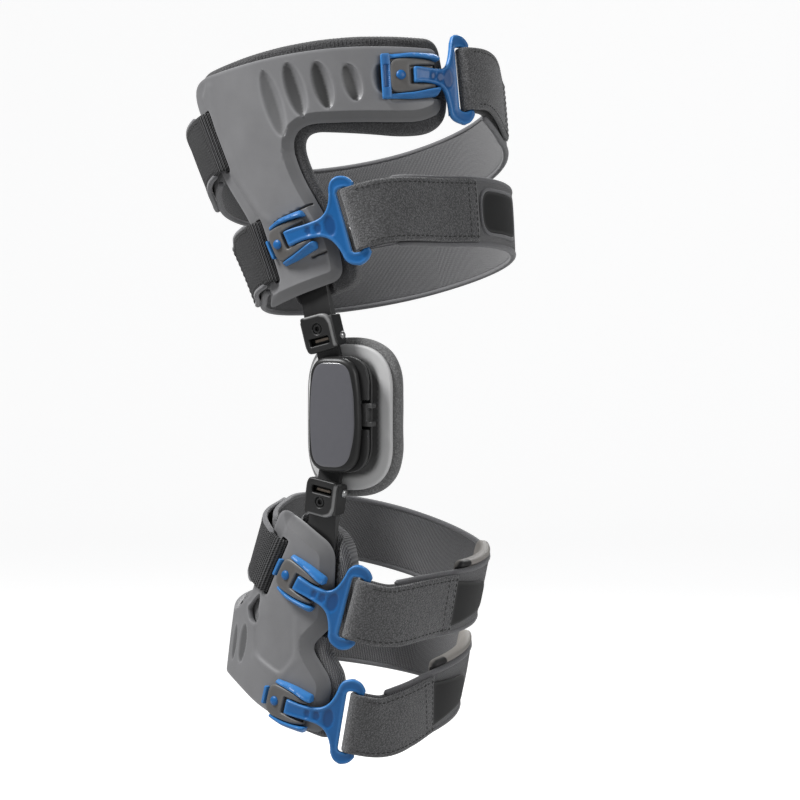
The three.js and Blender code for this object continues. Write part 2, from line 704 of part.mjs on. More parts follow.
// A small clip with two jaws, open to the front
function stopClip() {
  const { back, front, half, jaw, spine, inside, outside } = CLIP;
  const round = CLIP_ROUND;
  const { z } = COVER;
  const shape = roundedShape([
    { x: back, y: z - half, round },
    { x: front, y: z - half, round },
    { x: front, y: z - half + jaw, round },
    { x: back + spine, y: z - half + jaw, round },
    { x: back + spine, y: z + half - jaw, round },
    { x: front, y: z + half - jaw, round },
    { x: front, y: z + half, round },
    { x: back, y: z + half, round },
  ]);
  return stood(prism(shape, inside, outside, { curveSegments: 1 }));
}

// Assembly

function mesh(name, geometry, material) {
  const piece = new THREE.Mesh(geometry, material);
  piece.name = name;
  return piece;
}

// A shell with its liner, and two straps with their buckles
function limbFrame(name, limb, lean, shellOutline, linerOutline, dimples) {
  const frame = new THREE.Group();
  frame.rotation.y = degrees(lean);
  const places = [`${name}_upper`, `${name}_lower`];
  const slots = places.map((place) => SLOTS[place]);
  frame.add(mesh(`${name}_shell`, shell(limb, shellOutline, slots, dimples), shellPlastic()));
  frame.add(mesh(`${name}_liner`, liner(limb, linerOutline), linerCloth()));
  places.forEach((place) => {
    const buckle = BUCKLES[place];
    const laid = onBuckle(limb, buckle);
    const looped = strap(limb, buckle, STRAP_ROUTES[place], SLOTS[place], STRAP_ENDS[place]);
    frame.add(mesh(`${place}_base`, buckleBase(laid), darkPlastic()));
    frame.add(mesh(`${place}_frame`, buckleFrame(laid), bluePlastic()));
    frame.add(mesh(`${place}_rivet`, buckleRivet(laid), bluePlastic()));
    frame.add(mesh(`${place}_hook`, buckleHook(laid), bluePlastic()));
    frame.add(mesh(`${place}_strap`, looped, strapCloth()));
  });
  return frame;
}

// An arm of the hinge with the upright that tilts on its pin, reaching up from a pivot
function hingeSide(name, armName, pivotZ, turn, bar) {
  const side = new THREE.Group();
  side.position.set(0, -ARM_PLANE, pivotZ);
  side.rotation.y = degrees(turn);
  side.add(mesh(armName, hingeArm(), blackMetal()));
  const tilted = new THREE.Group();
  tilted.position.z = PIN.reach;
  tilted.rotation.x = degrees(bar.tilt);
  tilted.add(mesh(`${name}_upright`, upright(bar), blackMetal()));
  tilted.add(mesh(`${name}_tilt_pin`, rod(PIN.radius, PIN.half), steel()));
  tilted.add(mesh(`${name}_set_screw`, setScrew(), steel()));
  side.add(tilted);
  return side;
}

function hingeMiddle() {
  const middle = new THREE.Group();
  middle.position.y = -ARM_PLANE;
  middle.add(mesh('hinge_back_plate', hingePlate(BACK_PLATE, { holes: pivotHoles() }), blackMetal()));
  middle.add(mesh('hinge_front_plate', hingePlate(FRONT_PLATE, { holes: pivotHoles() }), blackMetal()));
  middle.add(mesh('hinge_cover', hingePlate(COVER, { bevel: COVER_BEVEL }), glossPlastic()));
  middle.add(mesh('hinge_pivot_upper', pivot(UPPER_PIVOT), steel()));
  middle.add(mesh('hinge_pivot_lower', pivot(LOWER_PIVOT), steel()));
  middle.add(mesh('hinge_stop_clip', stopClip(), steel()));
  middle.add(mesh('condyle_plate', dishedPlate(CONDYLE_PLATE), palePlastic()));
  middle.add(mesh('condyle_pad', dishedPlate(CONDYLE_PAD), foam()));
  return middle;
}

const brace = new THREE.Group();
brace.add(limbFrame('thigh', THIGH, -THIGH_LEAN, THIGH_SHELL_OUTLINE, THIGH_LINER_OUTLINE, THIGH_DIMPLES));
brace.add(limbFrame('calf', CALF, CALF_LEAN, CALF_SHELL_OUTLINE, CALF_LINER_OUTLINE, CALF_DIMPLES));
brace.add(hingeSide('thigh', 'upper_arm', UPPER_PIVOT, -THIGH_LEAN, THIGH_BAR));
brace.add(hingeSide('calf', 'lower_arm', LOWER_PIVOT, 180 + CALF_LEAN, CALF_BAR));
brace.add(hingeMiddle());

export default brace;
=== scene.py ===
# %% [markdown]
# # A hinged knee brace
# The brace has an upper and a lower moulded cuff, a geared hinge on their outer side, and four straps with
# hook buckles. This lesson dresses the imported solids, the fixed frame that every piece lies in. Sizes are
# in millimetres and become metres when a mesh is made.

# %% Load the frame
import math

import bmesh
import bpy
import numpy as np
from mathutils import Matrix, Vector, geometry


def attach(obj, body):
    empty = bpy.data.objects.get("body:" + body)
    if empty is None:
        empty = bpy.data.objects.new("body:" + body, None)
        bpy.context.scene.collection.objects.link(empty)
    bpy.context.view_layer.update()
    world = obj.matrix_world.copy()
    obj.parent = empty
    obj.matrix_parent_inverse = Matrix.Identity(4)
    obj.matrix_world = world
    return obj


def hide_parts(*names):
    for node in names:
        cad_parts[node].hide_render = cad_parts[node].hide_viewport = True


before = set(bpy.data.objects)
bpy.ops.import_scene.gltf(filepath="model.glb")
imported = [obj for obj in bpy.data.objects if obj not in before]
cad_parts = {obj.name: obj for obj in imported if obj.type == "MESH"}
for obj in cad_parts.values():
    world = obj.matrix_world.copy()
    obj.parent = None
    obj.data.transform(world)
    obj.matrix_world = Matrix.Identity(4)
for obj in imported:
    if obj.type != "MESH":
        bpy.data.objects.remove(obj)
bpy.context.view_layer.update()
MM = 0.001

# %% [markdown]
# ## Camera
# The camera looks at the outer side of the brace from 30 degrees towards the front, almost level. A short
# lens close by would swell the hinge against the straps, so a long lens stands well back. A small shift
# frames the brace without turning the camera.

# %% Camera
AZIMUTH = math.radians(30)
ELEVATION = math.radians(2.5)
DISTANCE = 1.5
LENS = 117.45
SENSOR = 36
SHIFT = (-0.00375, 0.04)


def add_object(name, data):
    thing = bpy.data.objects.new(name, data)
    bpy.context.scene.collection.objects.link(thing)
    return thing


def aim(thing, azimuth, elevation, distance):
    """Puts a camera or a lamp on a sphere round the hinge, and turns it to the middle."""
    flat = math.cos(elevation) * distance
    height = math.sin(elevation) * distance
    thing.location = Vector((math.sin(azimuth) * flat, -math.cos(azimuth) * flat, height))
    thing.rotation_euler = (-thing.location).to_track_quat("-Z", "Y").to_euler()


camera = add_object("camera", bpy.data.cameras.new("camera"))
aim(camera, AZIMUTH, ELEVATION, DISTANCE)
camera.data.lens = LENS
camera.data.sensor_width = SENSOR
camera.data.shift_x, camera.data.shift_y = SHIFT
bpy.context.scene.camera = camera
print("camera at", [round(x, 3) for x in camera.location])

# %% [markdown]
# ## Light
# Grey plastic and felt need soft light. Three round area lamps give it: a key from the rear and above, a
# weaker one from the front, and one on the far side that lights the rims. One small lamp would cast hard
# shadows on the relief instead.

# %% Lamps
LAMP_COLUMNS = ("azimuth", "elevation", "distance", "size", "power")
LAMPS = {"key": (-42, 48, 1.6, 0.6, 44), "front": (72, 22, 1.9, 0.8, 15), "rim": (190, 40, 1.8, 0.8, 14)}
for name, row in LAMPS.items():
    lamp = dict(zip(LAMP_COLUMNS, row))
    data = bpy.data.lights.new(name, "AREA")
    data.shape = "DISK"
    data.size = lamp["size"]
    data.energy = lamp["power"]
    azimuth, elevation = math.radians(lamp["azimuth"]), math.radians(lamp["elevation"])
    aim(add_object(name, data), azimuth, elevation, lamp["distance"])
bpy.context.scene.view_settings.view_transform = "Standard"
print("lamps", list(LAMPS))

# %% [markdown]
# ## World
# The world fills the shadows with a little cool light. The camera's own rays see a paler world, so that
# every view stands before the same pale ground while the fill stays weak. Light Path tells the two apart.

# %% World
FILL = {"colour": (0.93, 0.94, 0.96, 1), "strength": 0.27}
GROUND_COLOUR = (0.95, 0.95, 0.95, 1)


def add_node(tree, kind, inputs=None, **settings):
    """A node with its settings and inputs. An input is a value, or a socket to link from."""
    made = tree.nodes.new(kind)
    for key, value in settings.items():
        setattr(made, key, value)
    for key, value in (inputs or {}).items():
        if isinstance(value, bpy.types.NodeSocket):
            tree.links.new(value, made.inputs[key])
        else:
            made.inputs[key].default_value = value
    return made


world = bpy.data.worlds.new("studio")
world.use_nodes = True
sky = world.node_tree
fill = sky.nodes["Background"]
fill.inputs["Color"].default_value = FILL["colour"]
fill.inputs["Strength"].default_value = FILL["strength"]
ground = add_node(sky, "ShaderNodeBackground", {"Color": GROUND_COLOUR})
ray = add_node(sky, "ShaderNodeLightPath")
either = add_node(sky, "ShaderNodeMixShader", {
    0: ray.outputs["Is Camera Ray"], 1: fill.outputs[0], 2: ground.outputs[0]})
sky.links.new(either.outputs[0], sky.nodes["World Output"].inputs["Surface"])
bpy.context.scene.world = world
print("world of", len(sky.nodes), "nodes")

# %% [markdown]
# ## Shared effects
# Each finish is a Principled shader fed by a small node group. A group holds one effect, such as moulded
# grain or looped pile, and puts out a height for the bump and a tone for the colour. The textures could sit
# in every material, but a group is built once and only its scale differs.

# %% Group tools


def effect_group(name, build):
    """A shader group that takes a Vector and a Scale, and puts out a Height and a Tone."""
    group = bpy.data.node_groups.new(name, "ShaderNodeTree")
    for label, way, kind in (("Vector", "INPUT", "Vector"), ("Scale", "INPUT", "Float"),
                             ("Height", "OUTPUT", "Float"), ("Tone", "OUTPUT", "Float")):
        group.interface.new_socket(label, in_out=way, socket_type=f"NodeSocket{kind}")
    given = group.nodes.new("NodeGroupInput")
    height, tone = build(group, given.outputs["Vector"], given.outputs["Scale"])
    add_node(group, "NodeGroupOutput", {"Height": height, "Tone": tone})
    print("effect", name, "of", len(group.nodes), "nodes")
    return group


def times(tree, value, factor):
    return add_node(tree, "ShaderNodeMath", {0: value, 1: factor}, operation="MULTIPLY").outputs[0]


def plus(tree, first, second):
    return add_node(tree, "ShaderNodeMath", {0: first, 1: second}, operation="ADD").outputs[0]


def noise(tree, vector, scale, detail=3.0, roughness=0.55):
    inputs = {"Vector": vector, "Scale": scale, "Detail": detail, "Roughness": roughness}
    return add_node(tree, "ShaderNodeTexNoise", inputs).outputs["Fac"]


# %% Effect groups


def moulded_grain(tree, vector, scale):
    """Fine grain of a mould, with broad clouds in the tone."""
    fine = noise(tree, vector, scale, 4.0)
    broad = noise(tree, vector, times(tree, scale, 0.02), 3.0)
    return fine, plus(tree, times(tree, fine, 0.3), times(tree, broad, 0.7))


def looped_pile(tree, vector, scale):
    """Loops of felt: cells with a tuft on each, in broad patches."""
    loops = add_node(tree, "ShaderNodeTexVoronoi", {"Vector": vector, "Scale": scale}).outputs["Distance"]
    tuft = noise(tree, vector, scale, 4.0, 0.7)
    broad = noise(tree, vector, times(tree, scale, 0.04), 2.0)
    height = plus(tree, times(tree, loops, -0.55), tuft)
    return height, plus(tree, times(tree, height, 1.1), times(tree, broad, 0.25))


def rib_knit(tree, vector, scale):
    """Ribs crossed by slanting rows, with some fuzz."""
    inputs = {"Vector": vector, "Scale": scale, "Distortion": 0.6, "Detail": 1.0, "Detail Scale": 2.0}
    ribs = add_node(tree, "ShaderNodeTexWave", inputs, bands_direction="X").outputs["Fac"]
    inputs = {"Vector": vector, "Scale": times(tree, scale, 1.7), "Distortion": 1.2}
    rows = add_node(tree, "ShaderNodeTexWave", inputs, bands_direction="DIAGONAL").outputs["Fac"]
    fuzz = noise(tree, vector, times(tree, scale, 4.0), 3.0)
    height = plus(tree, times(tree, ribs, 0.7), times(tree, rows, 0.35))
    return height, plus(tree, times(tree, height, 0.55), times(tree, fuzz, 0.4))


def brushed_lines(tree, vector, scale):
    """Noise drawn out along z."""
    along = add_node(tree, "ShaderNodeMapping", {"Vector": vector, "Scale": (1, 1, 0.05)}).outputs["Vector"]
    fine = noise(tree, along, scale, 2.0)
    return fine, fine


GRAIN = effect_group("moulded_grain", moulded_grain)
PILE = effect_group("looped_pile", looped_pile)
KNIT = effect_group("rib_knit", rib_knit)
BRUSH = effect_group("brushed_lines", brushed_lines)

# %% [markdown]
# ## Finishes
# One function makes every finish: two tones mixed by the effect, a roughness that follows it, a bump, and a
# rim where handling has polished the edge, which on the dimple rims and the bracket covers' round corners is
# a painted highlight. The rim is an attribute of each mesh: 0 on the edge and 1 a few millimetres inside it.
# A second attribute, hollow, darkens the colour: it is painted shade in bevels, grooves and recesses, the
# hinge's painted shadow in the dish's well, and it also darkens the pads' near ends. Both could be painted
# by hand, but the mesh code knows where its edges are.

# %% Finish maker
TONE_BAND = (0.25, 0.75)
WEAR_AND_HIGHLIGHT = {"reach": 0.35, "ragged": 0.4}


def grey(value, blue=1.0):
    return (value, value, value * blue, 1)


def ranged(tree, value, source, target=(0.0, 1.0)):
    """A value moved from one (low, high) band to another."""
    inputs = {"Value": value, 1: source[0], 2: source[1], 3: target[0], 4: target[1]}
    return add_node(tree, "ShaderNodeMapRange", inputs).outputs[0]


def mixed(tree, share, first, second):
    return add_node(tree, "ShaderNodeMix", {0: share, 6: first, 7: second}, data_type="RGBA").outputs[2]


def attribute(tree, name):
    return add_node(tree, "ShaderNodeAttribute", attribute_name=name).outputs["Fac"]


def finish(name, tones, rough, effect, scale, bump, coords="Object", edge=None, hollow=None, **shader):
    """A Principled material. tones and rough are (low, high) pairs, edge and hollow are (colour, share)."""
    material = bpy.data.materials.new(name)
    material.use_nodes = True
    tree = material.node_tree
    bsdf = tree.nodes["Principled BSDF"]
    vector = add_node(tree, "ShaderNodeTexCoord").outputs[coords]
    group = add_node(tree, "ShaderNodeGroup", {"Vector": vector, "Scale": scale}, node_tree=effect)
    height, tone = group.outputs["Height"], group.outputs["Tone"]
    colour = mixed(tree, ranged(tree, tone, TONE_BAND), *tones)
    # The rim mask brightens the colour: wear, and a painted highlight on some edges.
    if edge:
        wear_and_highlight = ranged(tree, attribute(tree, "rim"), (0.0, WEAR_AND_HIGHLIGHT["reach"]), (edge[1], 0.0))
        ragged = times(tree, wear_and_highlight, plus(tree, tone, WEAR_AND_HIGHLIGHT["ragged"]))
        colour = mixed(tree, ragged, colour, edge[0])
    # The hollow mask darkens the colour: painted shade and shadow where shade falls, and the pads' near ends.
    if hollow:
        colour = mixed(tree, times(tree, attribute(tree, "hollow"), hollow[1]), colour, hollow[0])
    tree.links.new(colour, bsdf.inputs["Base Color"])
    tree.links.new(ranged(tree, tone, TONE_BAND, rough), bsdf.inputs["Roughness"])
    relief = add_node(tree, "ShaderNodeBump", {"Height": height, "Strength": 1.0, "Distance": bump * MM})
    tree.links.new(relief.outputs["Normal"], bsdf.inputs["Normal"])
    for key, value in shader.items():
        bsdf.inputs[key.replace("_", " ")].default_value = value
    return material


# %% [markdown]
# ### Plastics
# The shells are satin grey, the buckles blue on dark plates, and the hinge has a glossy slate cover in a
# black bezel. Moulded grain makes them all: the scale sets how fine it is and the roughness how satin.

# %% Plastics
# Edge colour: wear, and a painted highlight on the dimple rims. Hollow colour: painted shade.
SHELL = finish("shell_plastic", (grey(0.117, 1.03), grey(0.146, 1.03)), (0.42, 0.55), GRAIN, 2600, 0.05,
               edge=(grey(0.24, 1.03), 0.4), hollow=(grey(0.008), 0.95))
# Hollow colour: painted shade in the hooks' ovals and the rear bar's window.
BLUE = finish("blue_plastic", ((0.0025, 0.07, 0.22, 1), (0.005, 0.092, 0.28, 1)), (0.34, 0.46), GRAIN, 3000,
              0.03, edge=((0.06, 0.22, 0.5, 1), 0.55), hollow=((0.002, 0.035, 0.13, 1), 0.7),
              Specular_IOR_Level=0.35)
DARK = finish("buckle_plate", ((0.05, 0.048, 0.046, 1), (0.085, 0.08, 0.076, 1)), (0.42, 0.56), GRAIN, 2400,
              0.05, edge=(grey(0.16), 0.35))
SLATE = finish("slate_gloss", (grey(0.066, 1.12), grey(0.08, 1.12)), (0.26, 0.36), GRAIN, 300, 0.01,
               Coat_Weight=0.3, Coat_Roughness=0.16)
BEZEL = finish("black_gloss", (grey(0.004), grey(0.008)), (0.36, 0.46), GRAIN, 600, 0.01,
               edge=(grey(0.05), 0.3), Specular_IOR_Level=0.35)
# Hollow colour: the hinge's painted shadow in the dish's well.
PALE = finish("condyle_grey", (grey(0.36), grey(0.42)), (0.4, 0.55), GRAIN, 2200, 0.04, edge=(grey(0.5), 0.3),
              hollow=(grey(0.03), 0.93))
# Hollow colour: the pads' near ends, painted near black.
TAUPE = finish("strap_pad", ((0.19, 0.18, 0.165, 1), (0.25, 0.235, 0.22, 1)), (0.5, 0.65), GRAIN, 1400, 0.05,
               hollow=(grey(0.006), 1.0))
TAB = finish("strap_tab", (grey(0.009), grey(0.022)), (0.42, 0.58), GRAIN, 1500, 0.05, edge=(grey(0.09), 0.5),
             Specular_IOR_Level=0.25)
print("finishes so far", len(bpy.data.materials))

# %% [markdown]
# ### Cloths
# Felt, foam and bindings are pile, which looks alike from all sides, so it reads Object coordinates. Ribbed
# knit and weave have a direction, so they read the piece's own UV map, in metres, and follow the cloth.

# %% Cloths
CLOTH = {"Sheen_Weight": 0.25, "Sheen_Roughness": 0.6, "Specular_IOR_Level": 0.2}
LINING = finish("liner_felt", (grey(0.022, 1.06), grey(0.055, 1.05)), (0.85, 1.0), PILE, 1200, 0.7, **CLOTH)
RIBBED = finish("ribbed_knit", (grey(0.03, 1.06), grey(0.14, 1.04)), (0.8, 1.0), KNIT, 300, 0.7, "UV",
                **CLOTH)
FELT = finish("strap_felt", (grey(0.046, 1.03), grey(0.138, 1.03)), (0.85, 1.0), PILE, 1100, 0.9, **CLOTH)
WOVEN = finish("strap_weave", (grey(0.005, 1.03), grey(0.078, 1.03)), (0.8, 1.0), KNIT, 235, 1.0, "UV",
               Sheen_Weight=0.04, Specular_IOR_Level=0.15)
BINDING = finish("strap_binding", (grey(0.085, 1.05), grey(0.13, 1.05)), (0.75, 0.9), PILE, 1600, 0.2,
                 **CLOTH)
FOAM = finish("pad_foam", (grey(0.09, 1.0), grey(0.195, 1.0)), (0.85, 1.0), PILE, 1100, 0.45, **CLOTH)
THREAD = finish("black_thread", (grey(0.008), grey(0.02)), (0.5, 0.7), BRUSH, 4000, 0.05)
print("finishes so far", len(bpy.data.materials))

# %% [markdown]
# ### Metals and the stage
# Bars and brackets are coated black, and their edges are rubbed bright; each bracket cover also has a
# painted highlight along its round corner. Pins, clip and knuckles are bare metal with brushed lines. The
# stage glows mainly for the camera's rays, so that it is pale but lights the brace little.

# %% Metals and the stage
# Edge colour: wear, and a painted highlight on the bracket covers' round corners.
BLACK = finish("black_metal", (grey(0.007), grey(0.017, 1.02)), (0.34, 0.5), GRAIN, 1800, 0.03,
               edge=(grey(0.42), 0.6), Specular_IOR_Level=0.3)
CLIP_STEEL = finish("clip_steel", (grey(0.05), grey(0.1)), (0.35, 0.5), BRUSH, 3000, 0.02, Metallic=0.6)
STEEL = finish("satin_steel", (grey(0.20), grey(0.42)), (0.28, 0.45), BRUSH, 4000, 0.02, Metallic=1.0)
BRASS = finish("knuckle_metal", ((0.16, 0.13, 0.105, 1), (0.27, 0.23, 0.19, 1)), (0.35, 0.5), BRUSH, 3000,
               0.02, Metallic=0.8)
STUDIO = finish("studio_sweep", (grey(0.45), grey(0.46)), (0.9, 0.95), GRAIN, 6, 0.01,
                Emission_Color=grey(1.0))
stage_tree = STUDIO.node_tree
seen = add_node(stage_tree, "ShaderNodeLightPath").outputs["Is Camera Ray"]
glow = ranged(stage_tree, seen, (0.0, 1.0), (0.10, 0.80))
stage_tree.links.new(glow, stage_tree.nodes["Principled BSDF"].inputs["Emission Strength"])
print("finishes", len(bpy.data.materials))

# %% [markdown]
# ## The sweep
# The floor and the wall behind are one sheet, bent with a wide radius, so that no horizon shows. A plane
# and a wall would leave a line. It is stage, not part of the brace.

# %% Sweep
FLOOR = -0.36
SWEEP = {"width": 9.0, "near": -4.0, "far": 3.5, "radius": 1.2, "top": 5.0}


def studio_sweep(width, near, far, radius, top):
    """A sheet along the floor and up behind, square to the camera."""
    quarter = np.linspace(0, math.pi / 2, 16)
    bend = [(far + radius * math.sin(a), FLOOR + radius * (1 - math.cos(a))) for a in quarter]
    profile = [(near, FLOOR), *bend, (far + radius, top)]
    c, s = math.cos(AZIMUTH), math.sin(AZIMUTH)
    points = [(side * c - depth * s, side * s + depth * c, height)
              for depth, height in profile for side in (-width / 2, width / 2)]
    faces = [(2 * i, 2 * i + 1, 2 * i + 3, 2 * i + 2) for i in range(len(profile) - 1)]
    data = bpy.data.meshes.new("sweep")
    data.from_pydata(points, [], faces)
    data.polygons.foreach_set("use_smooth", [True] * len(faces))
    data.materials.append(STUDIO)
    return add_object("sweep", data)


sweep = studio_sweep(**SWEEP)
print("sweep of", len(sweep.data.polygons), "faces")

# %% [markdown]
# ## Cuff surfaces
# Shells, liners and straps all follow two smooth surfaces of each cuff: its hollow, and the form that the
# inside of the shell lies on. Sculpting each piece would let gaps creep in between them. Here each surface
# is a stack of quarter ellipses whose half-widths are given every 50 mm of height. Unrolled, u runs round
# the cuff and v up it.

# %% Cuff surfaces
ROW_STEP = 50
THIGH = {
    "hollow": {"start": 0, "front": (62, 74, 83, 89, 93, 95), "back": (58, 58, 65, 77, 85, 90),
               "outer": (59, 60, 66, 74, 80, 84), "inner": (58, 70, 80, 85, 89, 91)},
    "form": {"start": 0, "front": (76, 84, 92, 97, 100.5, 102), "back": (64, 70, 76, 86, 93, 98),
             "outer": (71.8, 75.7, 79.7, 83.6, 87.5, 91.5), "inner": (70, 80, 88, 93, 97, 99)},
    "per_degree": 1.6, "lean": math.radians(-13), "body": "thigh_frame",
}
CALF = {
    "hollow": {"start": -250, "front": (50, 54, 55, 56, 59, 62), "back": (52, 62, 71, 67, 58, 58),
               "outer": (48, 53, 57, 57, 56, 59), "inner": (51, 56, 60, 60, 58, 58)},
    "form": {"start": -250, "front": (58, 61, 63, 66, 70, 72), "back": (68, 75, 78.5, 78.5, 74, 65),
             "outer": (56.7, 61.1, 65.5, 69.8, 74.2, 78.6), "inner": (58, 63, 67, 67, 65, 65)},
    "per_degree": 1.2, "lean": math.radians(11), "body": "calf_frame",
}


def half_width(rows, side, z):
    """The half-width on one side at heights z, on a smooth curve through the rows."""
    values = np.array(rows[side], float)
    last = len(values) - 1
    place = np.clip((z - rows["start"]) / ROW_STEP, 0, last - 1e-6)
    i = np.floor(place).astype(int)
    t = place - i
    a, b, c, d = (values[np.clip(i + k, 0, last)] for k in (-1, 0, 1, 2))
    return b + 0.5 * t * (c - a + t * (2 * a - 5 * b + 4 * c - d + t * (3 * (b - c) + d - a)))


def wall(cuff, surface, turn, z, out):
    """Points in the shared frame at turns round a cuff's surface, moved out from it."""
    rows = cuff[surface]
    sin, cos = np.sin(np.radians(turn)), np.cos(np.radians(turn))
    a = np.where(sin > 0, half_width(rows, "front", z), half_width(rows, "back", z))
    b = np.where(cos > 0, half_width(rows, "outer", z), half_width(rows, "inner", z))
    nx, ny = sin / a, -cos / b
    size = np.hypot(nx, ny)
    x, y = a * sin + out * nx / size, -b * cos + out * ny / size
    c, s = math.cos(cuff["lean"]), math.sin(cuff["lean"])
    return np.stack([x * c + z * s, y, z * c - x * s], -1)


def on_form(cuff):
    return lambda u, v, h: wall(cuff, "form", u / cuff["per_degree"], v, h)


def unrolled(cuff, corners):
    return [(turn * cuff["per_degree"], z, round_) for turn, z, round_ in corners]


print("the thigh cuff starts", THIGH["hollow"]["outer"][0] + THIGH["hollow"]["inner"][0], "mm wide")

# %% [markdown]
# ## Outlines
# Most pieces are plates, and each plate starts as an outline. It could be a Bezier curve, but a list of
# corners, each with a rounding, is shorter to write and easy to measure against.

# %% Outlines


def rounded(corners, step=1.0):
    """A closed line through (x, y, round) corners, rounded off, with points about one step apart."""
    corners = np.array(corners, float)
    points, rounds = corners[:, :2], corners[:, 2]
    line = []
    for i, here in enumerate(points):
        back, ahead = points[i - 1] - here, points[(i + 1) % len(points)] - here
        start = here + back / np.linalg.norm(back) * rounds[i]
        end = here + ahead / np.linalg.norm(ahead) * rounds[i]
        t = np.linspace(0, 1, max(3, math.ceil(1.6 * rounds[i] / step)))[:, None]
        line.append((1 - t) ** 2 * start + 2 * t * (1 - t) * here + t ** 2 * end)
    line = np.vstack(line)
    spaced = []
    for a, b in zip(line, np.roll(line, -1, 0)):
        count = max(1, round(np.linalg.norm(b - a) / step))
        spaced.append(a + (b - a) * np.arange(count)[:, None] / count)
    loop = np.vstack(spaced)
    x, y = loop.T
    area = np.sum(x * np.roll(y, -1) - y * np.roll(x, -1))
    return loop if area > 0 else loop[::-1]


def box_corners(x0, x1, y0, y1, round_):
    return [(x0, y0, round_), (x1, y0, round_), (x1, y1, round_), (x0, y1, round_)]


def mirrored(side):
    """Corners on one side of y = 0, followed by their mirror image, so that they close."""
    return side + [(x, -y, round_) for x, y, round_ in side[::-1]]


def ellipse(x, y, rx, ry, count=28):
    a = np.arange(count) * 2 * math.pi / count
    return np.stack([x + rx * np.cos(a), y + ry * np.sin(a)], 1)


print("a 10 mm square has", len(rounded(box_corners(0, 10, 0, 10, 2))), "outline points")

# %% [markdown]
# ## Distances
# Bevels, rolled rims and wear all depend on how far a point is from an edge or a line, so that is worked
# out once for a whole array of points. Blender's Bevel modifier knows only the edges of a mesh, not a line
# on a face.

# %% Distances


def line_distance(points, line, closed=False):
    """Distance of each point from a line of points."""
    line = np.asarray(line, float)
    ends = np.roll(line, -1, 0) if closed else line[1:]
    best = np.full(len(points), 1e9)
    for a, b in zip(line, ends):
        along = b - a
        t = np.clip((points - a) @ along / max(along @ along, 1e-12), 0, 1)
        best = np.minimum(best, np.linalg.norm(points - a - t[:, None] * along, axis=1))
    return best


def inside(points, loops):
    """Whether each point lies inside an odd number of the loops."""
    odd = np.zeros(len(points), bool)
    x, y = points.T
    for loop in loops:
        for a, b in zip(loop, np.roll(loop, -1, 0)):
            if a[1] != b[1]:
                cross = (a[1] > y) != (b[1] > y)
                odd ^= cross & (x < a[0] + (y - a[1]) * (b[0] - a[0]) / (b[1] - a[1]))
    return odd


def smooth_step(x, low, high):
    t = np.clip((x - low) / (high - low), 0, 1)
    return t * t * (3 - 2 * t)


def round_rim(edge, radius):
    """How far a face drops near its edge, for a rim rounded to this radius."""
    return radius - np.sqrt(np.maximum(radius ** 2 - (radius - np.minimum(edge, radius)) ** 2, 0))


print("1 mm inside a 2 mm rim the face is", round(float(round_rim(1.0, 2.0)), 2), "mm low")

# %% [markdown]
# ## Filled outlines
# A plain fill gives long slivers that shade badly once the plate is bent. Here the outline is filled with
# triangles whose corners lie on rings along the edge, on an even net inside, and on creases where a relief
# has a crisp edge, so that a relief worked out from distances stays clean.

# %% Filled outlines
NET_ROW = 0.866
KEEP_CLEAR = {"ring": 0.85, "net": 0.55, "crease": 0.6}


def inner_points(loops, grid, rims, creases):
    """Points on rings along the loops, on a net, and on the creases, all inside the outline."""
    rings = []
    for loop in loops:
        ahead = np.roll(loop, -1, 0) - np.roll(loop, 1, 0)
        left = np.stack([-ahead[:, 1], ahead[:, 0]], 1) / np.linalg.norm(ahead, axis=1)[:, None]
        for r in rims:
            rings.append(np.column_stack([loop + left * r, np.full(len(loop), KEEP_CLEAR["ring"] * r)]))
    low, high = loops[0].min(0), loops[0].max(0)
    xs, ys = np.arange(low[0], high[0], grid), np.arange(low[1], high[1], NET_ROW * grid)
    net = np.stack(np.meshgrid(xs, ys), -1)
    net[1::2, :, 0] += grid / 2
    net = net.reshape(-1, 2)
    rings.append(np.column_stack([net, np.full(len(net), rims[-1] + KEEP_CLEAR["net"] * grid)]))
    inner = np.vstack(rings)
    inner = inner[inside(inner[:, :2], loops)]
    edge = np.min([line_distance(inner[:, :2], loop, True) for loop in loops], 0)
    inner = inner[edge >= inner[:, 2], :2]
    for crease in creases:
        inner = inner[line_distance(inner, crease) > KEEP_CLEAR["crease"] * grid]
    return np.vstack([inner, *[crease[inside(crease, loops)] for crease in creases]])


def flat_mesh(outline, holes=(), grid=2.2, rims=(0.35, 0.9, 1.8), creases=()):
    """Triangles that fill an outline: points, faces, distances from the edge, and the loops round it."""
    loops = [outline, *[hole[::-1] for hole in holes]]
    points = np.vstack([*loops, inner_points(loops, grid, rims, creases)])
    edges, numbered, start = [], [], 0
    for loop in loops:
        ids = np.arange(start, start + len(loop))
        edges += list(zip(ids.tolist(), np.roll(ids, -1).tolist()))
        numbered.append(ids)
        start += len(loop)
    made = geometry.delaunay_2d_cdt([Vector(p) for p in points], edges, [], 0, 1e-6, True)
    verts, faces = np.array(made[0]), np.array(made[2])
    index = np.zeros(len(points), int)
    for new, olds in enumerate(made[3]):
        index[olds] = new
    faces = faces[inside(verts[faces].mean(1), loops)]
    a, b, c = (verts[faces[:, k]] for k in range(3))
    turned = (b[:, 0] - a[:, 0]) * (c[:, 1] - a[:, 1]) - (b[:, 1] - a[:, 1]) * (c[:, 0] - a[:, 0]) < 0
    faces[turned] = faces[turned][:, ::-1]
    edge = np.min([line_distance(verts, loop, True) for loop in loops], 0)
    return verts, faces, edge, [index[ids] for ids in numbered]


print("a 10 mm square fills with", len(flat_mesh(rounded(box_corners(0, 10, 0, 10, 2)))[1]), "triangles")

